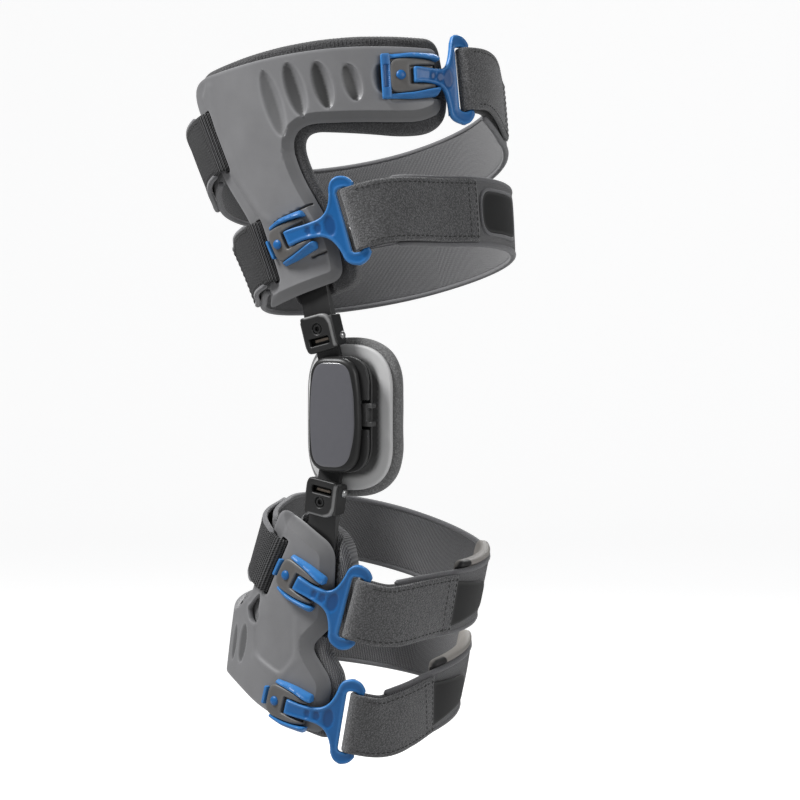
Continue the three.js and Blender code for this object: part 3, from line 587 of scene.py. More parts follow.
# %% [markdown]
# ## Plates and pieces
# A plate is a filled outline with a relief on each face and a wall round it. Solidify would give it one
# even thickness. Here the top and the bottom are functions of their own, and a place function lays the
# plate where it belongs. A piece is one object of one or more plates, which rides on a body of the frame.

# %% Plates
RIM_WIDTH = 6.0


def masks(rim, hollow=0.0):
    return np.stack([np.clip(rim, 0, 1), np.broadcast_to(hollow, np.shape(rim))], 1)


def plate(outline, top, bottom, place, holes=(), rim=None, hollow=None, **net):
    """A closed plate as (points, faces, uv, masks). top and bottom take (u, v, edge distance)."""
    flat, faces, edge, loops = flat_mesh(outline, holes, **net)
    u, v = flat.T
    count = len(flat)
    points = np.vstack([place(u, v, top(u, v, edge)), place(u, v, bottom(u, v, edge))])
    sides = []
    for loop in loops:
        ahead = np.roll(loop, -1)
        sides += np.stack([loop, loop + count, ahead + count, ahead], 1).tolist()
    every = faces.tolist() + (faces[:, ::-1] + count).tolist() + sides
    wear_and_highlight = rim(u, v, edge) if rim else edge / RIM_WIDTH
    painted_darkening = hollow(u, v, edge) if hollow else np.zeros(count)
    return points, every, np.tile(flat, (2, 1)), np.vstack([masks(wear_and_highlight, painted_darkening), masks(wear_and_highlight)])


def even(height):
    return lambda u, v, edge: np.full(len(u), float(height))


def rimmed(height, radius, side=1):
    """An even face whose rim is rounded. side is 1 for the top and -1 for the bottom."""
    return lambda u, v, edge: height - side * round_rim(edge, radius)


print("the rim mask reaches", RIM_WIDTH, "mm in")

# %% Pieces
SHARP_ANGLE = 42


def joined(name, parts, materials, sharp=SHARP_ANGLE, material_of=None):
    """Joins closed parts into one mesh, smooth but for sharp edges."""
    parts = parts if isinstance(parts, list) else [parts]
    materials = materials if isinstance(materials, list) else [materials]
    points, faces, uvs, marks = [], [], [], []
    start = 0
    for part_points, part_faces, uv, mark in parts:
        points.append(part_points)
        uvs.append(uv)
        marks.append(mark)
        faces += [[i + start for i in face] for face in part_faces]
        start += len(part_points)
    data = bpy.data.meshes.new(name)
    data.from_pydata((np.vstack(points) * MM).tolist(), [], faces)
    flat = np.vstack(uvs) * MM
    corner = np.zeros(len(data.loops), int)
    data.loops.foreach_get("vertex_index", corner)
    data.uv_layers.new(name="UVMap").data.foreach_set("uv", flat[corner].ravel())
    for label, values in zip(("rim", "hollow"), np.vstack(marks).T):
        data.attributes.new(label, "FLOAT", "POINT").data.foreach_set("value", values.copy())
    data.polygons.foreach_set("use_smooth", [True] * len(faces))
    data.set_sharp_from_angle(angle=math.radians(sharp))
    for material in materials:
        data.materials.append(material)
    if material_of is not None:
        data.polygons.foreach_set("material_index", material_of)
    return data


def dress(piece, body, replaces=()):
    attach(piece, body)
    if replaces:
        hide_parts(*replaces)
    print(piece.name, len(piece.data.polygons), "faces")
    return piece


def make_piece(name, parts, materials, body, slot, replaces=(), **look):
    """One object made of closed parts, that rides on a body."""
    return dress(add_object(name, joined(name, parts, materials, **look)), body, replaces)


# %% [markdown]
# ## Dimples in the shells
# Pointed dimples stiffen the arms of both shells. Each is a lens shape with a valley line that lies towards
# the front. A boolean with a bent solid could press them in, but a fall worked out across the lens gives
# two clean slopes and keeps the mesh even.

# %% Dimples
VALLEY = 0.3
DIMPLE_COLUMNS = ("turn", "z", "length", "width", "lean", "depth", "shade")


def in_dimple(u, v, cuff, dimple):
    """Where points lie in a dimple, from -1 to 1 inside it: along its axis, and across its chord there."""
    lean = math.radians(dimple["lean"])
    du, dv = u - dimple["turn"] * cuff["per_degree"], v - dimple["z"]
    along = (dv * math.cos(lean) - du * math.sin(lean)) / (dimple["length"] / 2)
    across = (du * math.cos(lean) + dv * math.sin(lean)) / (dimple["width"] / 2)
    return along, across / np.sqrt(np.maximum(1 - along ** 2, 1e-6))


def dimple_fall(u, v, cuff, dimple):
    """0 outside a dimple and on its rim, 1 on the valley line."""
    along, across = in_dimple(u, v, cuff, dimple)
    fall = np.clip(np.minimum((1 + across) / (1 + VALLEY), (1 - across) / (1 - VALLEY)), 0, 1)
    return np.where(np.abs(along) < 1, fall, 0)


def dimple_lines(cuff, dimple, count=72):
    """The valley line and the rim of a dimple."""
    a = np.arange(count + 1) * 2 * math.pi / count
    down = a[1:count // 2]
    lean = math.radians(dimple["lean"])
    lines = []
    for across, along in ((VALLEY * np.sin(down), np.cos(down)), (np.cos(a), np.sin(a))):
        x, y = across * dimple["width"] / 2, along * dimple["length"] / 2
        u = x * math.cos(lean) - y * math.sin(lean) + dimple["turn"] * cuff["per_degree"]
        lines.append(np.stack([u, x * math.sin(lean) + y * math.cos(lean) + dimple["z"]], 1))
    return lines


def dimple_table(*rows):
    return [dict(zip(DIMPLE_COLUMNS, row)) for row in rows]


print("the valley lies", VALLEY, "of the half-width towards the front")

# %% [markdown]
# ## Moulded face
# A wide bevel runs along the open front edges of a shell and a low flange along its rear. The buckles sit
# in shallow channels, and low ridges and cut lines run between them. All of this is height added to the
# outer face, so one function gives both shells their relief. It also paints shade into the bevel, the cut
# lines and the rear wall of each dimple, a highlight along each dimple's rim, and wear along the edges.

# %% Moulded face
SHELL_WALL = 3.5
SHELL_RIM = 0.7
THINNEST = 0.6
FOLD = 0.35
FLANGE = {"width": 8.0, "depth": 0.8, "soft": (2, 1)}
# Cut lines: their half-width, depth, and the reach of the painted shade along them.
GROOVE = {"half": 0.7, "depth": 1.2, "painted_shade": 1.3}
# Painted highlight along the dimple rims: the rim mask there starts at this value.
DIMPLE_HIGHLIGHT = 0.12


def marked(outline, line, reach=5.0):
    """The stretch of an outline that runs near a line, in order."""
    near = line_distance(outline, line) < reach
    first = np.argmax(near & ~np.roll(near, 1))
    return np.roll(outline, -first, 0)[np.roll(near, -first)]


def fold_lines(bevel_edge, width):
    """Three lines close together where the bevel meets the face, so that the fold is crisp."""
    ahead = np.gradient(bevel_edge, axis=0)
    inward = np.stack([-ahead[:, 1], ahead[:, 0]], 1) / np.linalg.norm(ahead, axis=1)[:, None]
    lines = []
    for reach in width + np.array([-FOLD, 0, FOLD]):
        line = bevel_edge + inward * reach
        lines.append(line[line_distance(line, bevel_edge) > reach - 0.02])
    return lines


def moulded_face(cuff, outline, edges, dimples, channels, ridges, grooves):
    """The outer face of a shell: top, hollow (painted shade), rim (wear and painted highlight) and creases.
    """
    scale = np.array([cuff["per_degree"], 1])
    bevel_edge = marked(outline, np.array(edges["bevel"]) * scale)
    cuts = [np.linspace(np.array(a) * scale, np.array(b) * scale, 30) for a, b in grooves]
    creases = fold_lines(bevel_edge, edges["width"])
    for dimple in dimples:
        creases += dimple_lines(cuff, dimple)
    creases += cuts

    def top(u, v, edge):
        points = np.stack([u, v], 1)
        bevel = line_distance(points, bevel_edge)
        flange = line_distance(points, np.array(edges["flange"]) * scale)
        h = SHELL_WALL - round_rim(edge, SHELL_RIM)
        h = h - edges["depth"] * np.clip(1 - bevel / edges["width"], 0, 1)
        far, near = FLANGE["soft"]
        h = h - FLANGE["depth"] * smooth_step(-flange, -FLANGE["width"] - far, -FLANGE["width"] + near)
        for dimple in dimples:
            along, _ = in_dimple(u, v, cuff, dimple)
            fall = dimple_fall(u, v, cuff, dimple)
            h = h - dimple["depth"] * fall * (1.5 - 0.5 * fall) * np.sqrt(np.maximum(1 - along ** 2, 0))
        for loop, depth, soft, fade in channels:
            corners = rounded(unrolled(cuff, loop))
            within = np.where(inside(points, [corners]), 1, -1) * line_distance(points, corners, True)
            h = h - depth * smooth_step(within, -soft / 2, soft / 2) * smooth_step(-v, -fade[1], -fade[0])
        for line, width, height in ridges:
            h = h + height * np.exp(-(line_distance(points, np.array(line) * scale) / width) ** 2)
        for cut in cuts:
            h = h - GROOVE["depth"] * np.clip(1 - line_distance(points, cut) / GROOVE["half"], 0, 1)
        return np.maximum(h, THINNEST)

    # Painted shade on the bevel, on each dimple's rear wall and along the cut lines, where shade falls.
    def painted_darkening(u, v, edge):
        points = np.stack([u, v], 1)
        shades = [edges["shade"] * smooth_step(edges["width"] - line_distance(points, bevel_edge), -0.2, 0.2)]
        for dimple in dimples:
            _, across = in_dimple(u, v, cuff, dimple)
            fall = dimple_fall(u, v, cuff, dimple)
            painted_shade = dimple["shade"] * smooth_step(VALLEY - across, -0.1, 0.2)
            shades.append(painted_shade * smooth_step(fall, 0.0, 0.3))
        for cut in cuts:
            shades.append(np.clip(GROOVE["painted_shade"] - line_distance(points, cut) / GROOVE["half"], 0, 1))
        return np.max(shades, 0)

    # Wear along the edges, and a painted highlight along each dimple's rim.
    def wear_and_highlight(u, v, edge):
        points = np.stack([u, v], 1)
        rims = [line_distance(points, dimple_lines(cuff, dimple)[1]) / RIM_WIDTH for dimple in dimples]
        return np.minimum(edge / RIM_WIDTH, DIMPLE_HIGHLIGHT + np.min(rims, 0))

    return {"top": top, "hollow": painted_darkening, "rim": wear_and_highlight, "creases": creases}


print("shells are", SHELL_WALL, "mm thick")

# %% [markdown]
# ## Shells
# Each shell is one plate with two slots for its straps. The thigh shell has a front arm over an open
# cutout, and its lower tab flares out. The calf shell has a rear arm and a small eye. Both are listed as
# corners on the unrolled cuff, as a pattern maker would draw them.

# %% Shell maker
SLOT = {"bar": 4.5, "width": 5.0, "length": 36.2, "round": 1.2}
SLOTS = {"thigh_upper": (-24, 175, 7), "thigh_lower": (-13.6, 108, 5),
         "calf_upper": (-24.2, -78.7, -17), "calf_lower": (-103.3, -136, 0)}


def slot_loop(cuff, turn, z, tilt):
    near, half = SLOT["bar"] / 2, SLOT["length"] / 2
    loop = rounded(box_corners(near, near + SLOT["width"], -half, half, SLOT["round"]))
    c, s = math.cos(math.radians(tilt)), math.sin(math.radians(tilt))
    return loop @ np.array([[c, s], [-s, c]]) + (turn * cuff["per_degree"], z)


def moulded_shell(half, cuff, corners, relief, place, eyes=()):
    outline = rounded(unrolled(cuff, corners))
    holes = [slot_loop(cuff, *SLOTS[f"{half}_{level}"]) for level in ("upper", "lower")]
    holes += [rounded(unrolled(cuff, eye)) for eye in eyes]
    part = plate(outline, bottom=rimmed(0, 0.5, -1), place=place, grid=1.0, holes=holes,
                 **moulded_face(cuff, outline, **relief))
    return make_piece(f"{half}_shell_moulded", part, SHELL, cuff["body"], "shell_plastic", [f"{half}_shell"])


print("strap slots", list(SLOTS))

# %% Thigh shell
THIGH_SHELL = [
    (-28, 212, 17), (19, 209.5, 35), (63, 197, 6), (62.7, 192.5, 2), (58, 193, 2.5), (57.5, 171, 2.5),
    (62.2, 170, 2), (61.6, 163.5, 5), (54.5, 158.8, 9), (45, 160.5, 8), (8.6, 172, 18), (9.2, 146, 12),
    (17, 107, 10), (17, 83, 8), (-19, 77.5, 7), (-14, 90, 5), (-16, 126, 10), (-24, 155, 10),
]
# shade is the strength of the painted shade on the bevel and on each dimple's rear wall.
THIGH_RELIEF = {
    "edges": {
        "width": 5.8, "depth": 2.8, "shade": 0.4,
        "bevel": [(61.6, 164), (54.5, 159), (45, 160.5), (24, 167), (12, 169), (8.8, 160), (9.2, 146),
                  (17, 107), (17, 90), (15, 83.5), (-17, 78)],
        "flange": [(-24, 211), (-28, 205), (-24, 155), (-16, 126), (-14, 92)],
    },
    "dimples": dimple_table(
        (6.1, 185.2, 38.5, 10.5, 4.5, 2.3, 0.42), (14.2, 189.4, 31, 10.8, 4.5, 2.6, 0.8),
        (23.1, 188, 27, 10.8, 4.5, 2.8, 1.0), (32.4, 186, 21.5, 10.2, 5.5, 2.8, 1.0),
        (42.5, 185, 17.5, 12, 0, 2.6, 0.8)),
    "channels": [([(43, 197.5, 4), (64, 194.5, 2), (64, 169.5, 2), (43, 171.5, 4)], 0.9, 1.6, (220, 230))],
    "ridges": [([(-17, 205), (-19, 180), (-15, 150), (-9, 128), (-6, 124)], 2.6, 0.5)],
    "grooves": [((-3.5, 122), (11, 126.8)), ((7.5, 98.3), (13, 99.5))],
}
FLARE = {"below": 99, "curve": 0.006}


def flared(u, v, h):
    """The thigh shell's surface. Its lower tab stands away from the cuff."""
    return on_form(THIGH)(u, v, h + FLARE["curve"] * np.maximum(FLARE["below"] - v, 0) ** 2)


moulded_shell("thigh", THIGH, THIGH_SHELL, THIGH_RELIEF, flared)

# %% Calf shell
CALF_SHELL = [
    (-22, -46, 7), (-9, -50, 6), (9, -60, 8), (13, -104, 7), (3, -119, 6), (16.5, -136, 7), (16, -168, 9),
    (-15, -164, 14), (-40, -155, 14), (-105.5, -160, 9), (-105.5, -111, 9), (-52, -119, 12), (-36.5, -104, 7),
    (-34, -95, 6),
]
CALF_EYE = [(-28.6, -99.4, 1.2), (-26.4, -112.5, 2), (-28.5, -117.5, 2), (-33, -117, 2.5), (-36, -110.5, 2.5),
            (-33, -105, 1.5)]
# shade is the strength of the painted shade on the bevel and on each dimple's rear wall.
CALF_RELIEF = {
    "edges": {
        "width": 8.2, "depth": 2.7, "shade": 0.26,
        "bevel": [(-9, -50), (8, -60), (13, -104), (3, -119), (16.5, -136), (16, -163), (12, -167.5)],
        "flange": [(-22, -47), (-33, -100)],
    },
    "dimples": dimple_table(
        (-37, -132, 24, 9, -4, 2.3, 0.5), (-47, -135, 22, 8.5, -4, 2.1, 0.5),
        (-58, -136, 18, 8, -4, 2.0, 0.5)),
    "channels": [([(-30, -116, 8), (-25, -134.5, 5), (-9.5, -139.5, 4), (-3.8, -127, 6), (-6.8, -100, 8)],
                  1.0, 3.0, (-126, -104))],
    "ridges": [([(-26, -136), (-9.5, -142), (-2.2, -128), (-4.5, -106)], 2.0, 0.35)],
    "grooves": [],
}
moulded_shell("calf", CALF, CALF_SHELL, CALF_RELIEF, on_form(CALF), [CALF_EYE])

# %% [markdown]
# ## Padded liners
# Behind each shell lies a felt-faced foam liner that stands proud of the shell in the cutout and round the
# edges. It fills the space from the hollow to the shell, but for a groove where the flat bar lies. Its rim
# is rolled, as foam cut and bound by felt is. Simulated cloth could swell into the shell, so the rolls are
# height functions with a slight ripple.

# %% Liners
LINER = {"clear": 0.5, "gap": 0.7, "roll": 3.4, "inner_roll": 2.2, "sink": 0.12, "ripple": 0.12,
         "groove": 4.5, "soft": 2}
LINER_RIMS = (0.3, 0.8, 1.6, 2.6, 3.6)


def liner_space(cuff, u, v):
    """Points on the inner and the outer face of a liner, and how far apart they are."""
    low = wall(cuff, "hollow", u / cuff["per_degree"], v, LINER["clear"])
    high = on_form(cuff)(u, v, -LINER["gap"])
    return low, high, np.linalg.norm(high - low, axis=1)


def liner_plate(cuff, corners, bar):
    """bar is (u from, u to, v from, v to) of the groove for the flat bar."""
    left, right, lowest, highest = bar
    soft = LINER["soft"]

    def place(u, v, h):
        low, high, _ = liner_space(cuff, u, v)
        return low + (high - low) * h[:, None]

    def top(u, v, edge):
        groove = (smooth_step(u, left - soft, left) * smooth_step(-u, -right - soft, -right)
                  * smooth_step(v, lowest - soft, lowest) * smooth_step(-v, -highest - soft, -highest))
        ripple = LINER["ripple"] * np.sin(u * 0.31 + 1.3 * np.sin(v * 0.11))
        drop = round_rim(edge, LINER["roll"]) + LINER["groove"] * groove + LINER["sink"] + ripple
        return 1 - drop / liner_space(cuff, u, v)[2]

    def bottom(u, v, edge):
        return round_rim(edge, LINER["inner_roll"]) / liner_space(cuff, u, v)[2]

    return plate(rounded(unrolled(cuff, corners)), top, bottom, place, grid=2.4, rims=LINER_RIMS)


THIGH_LINER = [
    (-26, 215, 13), (19, 216, 35), (66, 204, 9), (66.5, 152, 24), (46, 153.5, 9), (11, 168, 14),
    (12, 141, 14), (22, 106, 12), (21, 79, 9), (-6, 75, 6), (-7, 126, 10), (-16, 155, 10), (-17, 195, 4),
    (-25, 197, 3),
]
CALF_LINER = [
    (-12, -44, 7), (12, -55, 9), (19, -74, 9), (18, -100, 9), (10, -118, 8), (23, -134, 8), (20, -171, 9),
    (-15, -167, 14), (-40, -158, 14), (-95, -162, 9), (-95, -109, 9), (-46, -113, 8), (-38, -106, 5),
    (-31, -100.5, 3), (-23, -101, 5),
]
thigh_liner = make_piece("thigh_liner_felt", liner_plate(THIGH, THIGH_LINER, (-5, 17, 58, 124)), LINING,
                         "thigh_frame", "liner_cloth", ["thigh_liner"])
calf_liner = make_piece("calf_liner_knit", liner_plate(CALF, CALF_LINER, (-11, 11, -110, -35)), RIBBED,
                        "calf_frame", "liner_cloth", ["calf_liner"])

# %% [markdown]
# ## Buckles
# Each buckle has a dark plate riveted to the shell, a blue frame whose rails thicken towards the hook, and
# a blue hook whose tongue snaps into a notch. They could be modelled four times over. Instead each is a
# plate in the buckle's own frame: x towards the hook, y up, h away from the shell.

# %% Buckle frames
BUCKLE_COLUMNS = ("cuff", "turn", "z", "tilt", "ring_turn", "ring_z", "ring_tilt")
BUCKLES = {name: dict(zip(BUCKLE_COLUMNS, row)) for name, row in {
    "thigh_upper": (THIGH, 52.5, 183.7, -7, 66.7, 178.6, -4),
    "thigh_lower": (THIGH, 1.7, 111, 11, 21.6, 112.2, 4),
    "calf_upper": (CALF, -4.5, -84.2, -18, 18.5, -90.2, -5),
    "calf_lower": (CALF, -2.4, -155.3, -6, 24.5, -155.4, -1),
}.items()}
HOOK = {"tip": -0.9, "half": 4.4, "low": 2.55, "high": 5.55}


def heading(angle):
    return np.array([math.cos(math.radians(angle)), math.sin(math.radians(angle))])


def curve_weights(t):
    """Weights of a smooth curve's start, start direction, end and end direction."""
    return 2 * t ** 3 - 3 * t ** 2 + 1, t ** 3 - 2 * t ** 2 + t, 3 * t ** 2 - 2 * t ** 3, t ** 3 - t ** 2


def on_buckle(buckle):
    cuff = buckle["cuff"]
    place = on_form(cuff)
    c, s = heading(buckle["tilt"])
    u0 = buckle["turn"] * cuff["per_degree"]
    return lambda x, y, h: place(u0 + x * c - y * s, buckle["z"] + x * s + y * c, SHELL_WALL + h)


def on_hook(buckle):
    """A hook's frame, and where its slot starts. Its middle line bends from the plate to the strap."""
    cuff = buckle["cuff"]
    place = on_form(cuff)
    begin, pull = heading(buckle["tilt"]), heading(buckle["ring_tilt"])
    tip = np.array([buckle["turn"] * cuff["per_degree"], buckle["z"]]) + HOOK["tip"] * begin
    slot = np.array([buckle["ring_turn"] * cuff["per_degree"], buckle["ring_z"]])
    reach = np.linalg.norm(slot - tip)

    def bent(x, y, h):
        t = np.clip((x - HOOK["tip"]) / reach, 0, 1)[:, None]
        past = (x - HOOK["tip"])[:, None] - reach * t
        at_tip, from_tip, at_slot, to_slot = curve_weights(t)
        middle = tip * at_tip + slot * at_slot + reach * (begin * from_tip + pull * to_slot) + pull * past
        ahead = ((slot - tip) / reach * 6 * (t - t ** 2) + begin * (3 * t ** 2 - 4 * t + 1)
                 + pull * (3 * t ** 2 - 2 * t))
        ahead /= np.linalg.norm(ahead, axis=1)[:, None]
        return place(middle[:, 0] - y * ahead[:, 1], middle[:, 1] + y * ahead[:, 0], SHELL_WALL + h)

    return bent, HOOK["tip"] + reach


print("buckles", list(BUCKLES))

# %% Buckle plate
BASE = {"back": -13.2, "front": 11.0, "half": 9.2, "low": 3.1, "high": 5.4, "ramp": 18, "ease": (7, 0.9),
        "crown": 0.006}
NOTCH = {"back": -2.8, "half": 4.9, "floor": 1.6}


def buckle_plate(place):
    """A ramp that rises to the hook, crowned across, with a notch, and the notch's floor."""
    b, n = BASE, NOTCH
    corners = mirrored([
        (b["back"], -b["half"], 5.5), (-1, -b["half"] - 0.2, 6), (b["front"], -7.0, 1.0),
        (b["front"], -n["half"] - 0.4, 0.7), (n["back"], -n["half"], 0.6),
    ])

    def top(u, v, edge):
        ramp = b["low"] + (b["high"] - b["low"]) * np.clip((u - b["back"]) / b["ramp"], 0, 1)
        start, drop = b["ease"]
        return ramp - round_rim(edge, 1.0) - drop * smooth_step(u, start, b["front"]) - b["crown"] * v ** 2

    wall_part = plate(rounded(corners, 0.7), top, even(0.4), place, grid=1.2, rims=(0.25, 0.6, 1.0))
    floor_half = n["half"] + 1.2
    floor = rounded(box_corners(b["back"] + 2, b["front"] - 0.5, -floor_half, floor_half, 1), 0.9)
    return [wall_part, plate(floor, even(n["floor"]), even(0.45), place, grid=1.8)]


print("buckle plates rise", round(BASE["high"] - BASE["low"], 1), "mm towards the hook")

# %% Buckle rails
RAIL = {"back": -10.5, "closed_back": -13.8, "front": 13.2, "low": 2.2, "high": 7.4, "flat": 1.3,
        "slope": 1.7, "rise": (20, 0.8), "nose": (11.4, 1.1), "thinnest": 1.2}
RAIL_PLAN = {"x": (-10.5, -1.0, 13.2), "inner": (9.6, 9.8, 7.5), "outer": (12.0, 12.7, 11.4)}
REAR_BAR = {True: (-17.2, -12.6, 12.2), False: (-16.2, -14.4, 5.4)}
BAR_WINDOW = {"at": -14.9, "half": 1.2, "tall": 6.4, "depth": 0.8, "top": 3.1}


def buckle_rails(place, closed):
    """Two wedge-shaped rails that rise towards the hook, and a bar behind that may close them to a U."""
    r, plan, w = RAIL, RAIL_PLAN, BAR_WINDOW

    def top(u, v, edge):
        reach, power = r["rise"]
        nose, drop = r["nose"]
        share = np.clip((u - r["back"]) / reach, 0, 1)
        rise = r["low"] + (r["high"] - r["low"]) * share ** power - drop * smooth_step(u, nose, r["front"])
        beyond = np.maximum(np.abs(v) - np.interp(u, plan["x"], plan["inner"]) - r["flat"], 0)
        return np.maximum(rise - r["slope"] * beyond, r["thinnest"]) - round_rim(edge, 0.6)

    # The window is sunk, and painted dark with shade.
    def window(u, v, edge):
        across = smooth_step(w["half"] - np.abs(u - w["at"]), -0.1, 0.3)
        return closed * across * smooth_step(w["tall"] - np.abs(v), -0.1, 0.3)

    def bar_top(u, v, edge):
        return w["top"] - round_rim(edge, 0.5) - w["depth"] * window(u, v, edge)

    parts = []
    back = r["closed_back"] if closed else r["back"]
    for side in (-1, 1):
        inner, outer = ([side * y for y in plan[edge]] for edge in ("inner", "outer"))
        rail = [(back, inner[0], 0.4), (-1, inner[1], 5), (r["front"], inner[2], 0.8),
                (r["front"] - 0.8, outer[2], 1.2), (-1, outer[1], 5), (back, outer[0], 0.8)]
        parts.append(plate(rounded(rail, 0.6), top, even(0.3), place, grid=0.8, rims=(0.2, 0.5, 0.8)))
    left, right, half = REAR_BAR[closed]
    bar = rounded(box_corners(left, right, -half, half, 0.8), 0.5)
    parts.append(plate(bar, bar_top, even(0.3), place, hollow=window, grid=0.6, rims=(0.25, 0.5)))
    return parts


print("rails are up to", RAIL["high"], "mm high")

# %% [markdown]
# ## Hooks
# The hook is the buckle's blue lever. Its tongue widens to a crossbar with two curled arms that hold the
# strap on a thin bar, and three oval recesses lighten it. It could be bent by a Curve modifier. Its place
# function bends it instead, and the recesses with it.

# %% Hooks
RING = {"bar": 6.2, "right": 9.2, "slot_half": 17.9, "half": 24.4}
OVALS = [(0.39, 1.6, 2.6), (0.56, 2.0, 3.0), (0.765, 3.1, 6.0)]
HOOK_RELIEF = {"lip": 0.25, "round": 1.1, "face": 0.3, "oval": 0.55, "strap_bar": 0.6, "tip": 0.5}


def buckle_hook(place, slot):
    """A tongue that flares to a crossbar, with two curled arms and a thin bar for the strap."""
    r, k, low = RING, HOOK, HOOK_RELIEF
    bar, right = slot + r["bar"], slot + r["right"]
    corners = mirrored([
        (k["tip"], -k["half"], 0.8), (0.36 * slot, -k["half"] + 0.5, 4), (0.68 * slot, -5.0, 0.17 * slot),
        (slot - 4.4, -14.5, 6), (slot - 4.0, -r["half"], 7.5), (slot + 6.6, -r["half"] - 0.8, 5.4),
        (right + 0.6, -r["slot_half"] - 1.5, 0.5), (right, -r["slot_half"] + 0.6, 0.4),
    ])
    hole = rounded(box_corners(slot, bar, -r["slot_half"], r["slot_half"], 2.6), 0.7)

    def in_oval(u, v):
        return np.max([1 - np.hypot((u - at * slot) / rx, v / ry) for at, rx, ry in OVALS], 0)

    def top(u, v, edge):
        h = k["high"] + low["lip"] - round_rim(edge, low["round"]) - low["face"] * smooth_step(edge, 1.0, 1.7)
        h = h - low["oval"] * smooth_step(in_oval(u, v), -0.06, 0.16)
        strap_bar = smooth_step(u, bar - 0.3, bar + 0.2) * smooth_step(-np.abs(v), -17.2, -16.6)
        return h - low["strap_bar"] * strap_bar - low["tip"] * smooth_step(-u, -1.6, 0.8)

    # Painted shade in the oval recesses.
    def painted_darkening(u, v, edge):
        return smooth_step(in_oval(u, v), 0.0, 0.2)

    return plate(rounded(corners, 0.7), top, rimmed(k["low"], 0.7, -1), place, [hole], hollow=painted_darkening, grid=0.8,
                 rims=(0.25, 0.6, 1.1, 1.7))


for name, buckle in BUCKLES.items():
    place = on_buckle(buckle)
    body = buckle["cuff"]["body"]
    make_piece(f"{name}_plate", buckle_plate(place), DARK, body, "dark_plastic", [f"{name}_base"])
    rails = buckle_rails(place, name == "thigh_upper")
    make_piece(f"{name}_rails", rails, BLUE, body, "blue_plastic", [f"{name}_frame"])
    make_piece(f"{name}_clasp", buckle_hook(*on_hook(buckle)), BLUE, body, "blue_plastic", [f"{name}_hook"])

# %% [markdown]
# ## Rivets, screws and pins
# The same few fasteners come back on both halves: a domed rivet on each buckle, a headless screw and a tilt
# pin in each bracket. They could be placed one by one. A Geometry Nodes tree does it in one go: it puts a
# copy of a turned head on each point, aimed along that point's axis, and makes the copies real.

# %% Turned heads
TURN_SIDES = 24
RIVET = [(0, 2.4), (1.4, 2.4), (1.4, 3.7), (2.45, 3.7), (2.7, 4.0), (2.6, 4.5), (2.0, 4.95),
         (1.0, 5.2), (0, 5.25)]


def turned(profile):
    """A solid turned about h, from (radius, height) pairs that start and end on the axis.

    A radius may be an array with a value for each side.
    """
    a = np.arange(TURN_SIDES) * 2 * math.pi / TURN_SIDES
    rings = [np.stack([r * np.cos(a), r * np.sin(a), np.full(TURN_SIDES, h)], 1) for r, h in profile[1:-1]]
    points = np.vstack([[(0, 0, profile[0][1])], *rings, [(0, 0, profile[-1][1])]])
    faces, last = [], len(points) - 1
    for k in range(TURN_SIDES):
        n = (k + 1) % TURN_SIDES
        faces.append([0, 1 + n, 1 + k])
        for i in range(len(rings) - 1):
            low, high = 1 + i * TURN_SIDES, 1 + (i + 1) * TURN_SIDES
            faces.append([low + k, low + n, high + n, high + k])
        top = 1 + (len(rings) - 1) * TURN_SIDES
        faces.append([top + k, top + n, last])
    return points, faces, points[:, :2], masks(np.ones(len(points)))


print("a rivet head has", len(turned(RIVET)[1]), "faces")

# %% Fastener tree


def new_tree(name, inputs):
    """An empty Geometry Nodes tree with named inputs, and those inputs' sockets."""
    tree = bpy.data.node_groups.new(name, "GeometryNodeTree")
    tree.interface.new_socket("Geometry", in_out="INPUT", socket_type="NodeSocketGeometry")
    for label, kind in inputs.items():
        tree.interface.new_socket(label, in_out="INPUT", socket_type=f"NodeSocket{kind}")
    tree.interface.new_socket("Geometry", in_out="OUTPUT", socket_type="NodeSocketGeometry")
    return tree, tree.nodes.new("NodeGroupInput").outputs


def finish_tree(tree, shape, material):
    """Ends a tree in Set Material."""
    done = add_node(tree, "GeometryNodeSetMaterial", {"Geometry": shape, "Material": material})
    add_node(tree, "NodeGroupOutput", {"Geometry": done.outputs["Geometry"]})
    print("tree", tree.name, "of", len(tree.nodes), "nodes")
    return tree


def fastener_tree():
    tree, given = new_tree("fasteners", {"Head": "Object", "Finish": "Material"})
    head = add_node(tree, "GeometryNodeObjectInfo", {"Object": given["Head"]})
    axis = add_node(tree, "GeometryNodeInputNamedAttribute", {"Name": "axis"}, data_type="FLOAT_VECTOR")
    turn = add_node(tree, "FunctionNodeAlignRotationToVector", {"Vector": axis.outputs["Attribute"]},
                    axis="Z")
    placed = add_node(tree, "GeometryNodeInstanceOnPoints", {
        "Points": given["Geometry"], "Instance": head.outputs["Geometry"],
        "Rotation": turn.outputs["Rotation"]})
    real = add_node(tree, "GeometryNodeRealizeInstances", {"Geometry": placed.outputs["Instances"]})
    return finish_tree(tree, real.outputs["Geometry"], given["Finish"])


FASTENERS = fastener_tree()

# %% Rivets
RIVET_AT = -7.6


def evaluated(thing):
    """The plain mesh of an object with its modifiers applied. The object itself is removed."""
    bpy.context.view_layer.update()
    made = bpy.data.meshes.new_from_object(thing.evaluated_get(bpy.context.evaluated_depsgraph_get()))
    bpy.data.objects.remove(thing)
    return made


def grown(data, tree, values):
    """The plain mesh that a tree makes of a mesh. Inputs are set by their identifiers."""
    source = add_object(data.name, data)
    modifier = source.modifiers.new(tree.name, "NODES")
    modifier.node_group = tree
    for item in tree.interface.items_tree:
        if item.in_out == "INPUT" and item.name in values:
            modifier[item.identifier] = values[item.name]
    return evaluated(source)


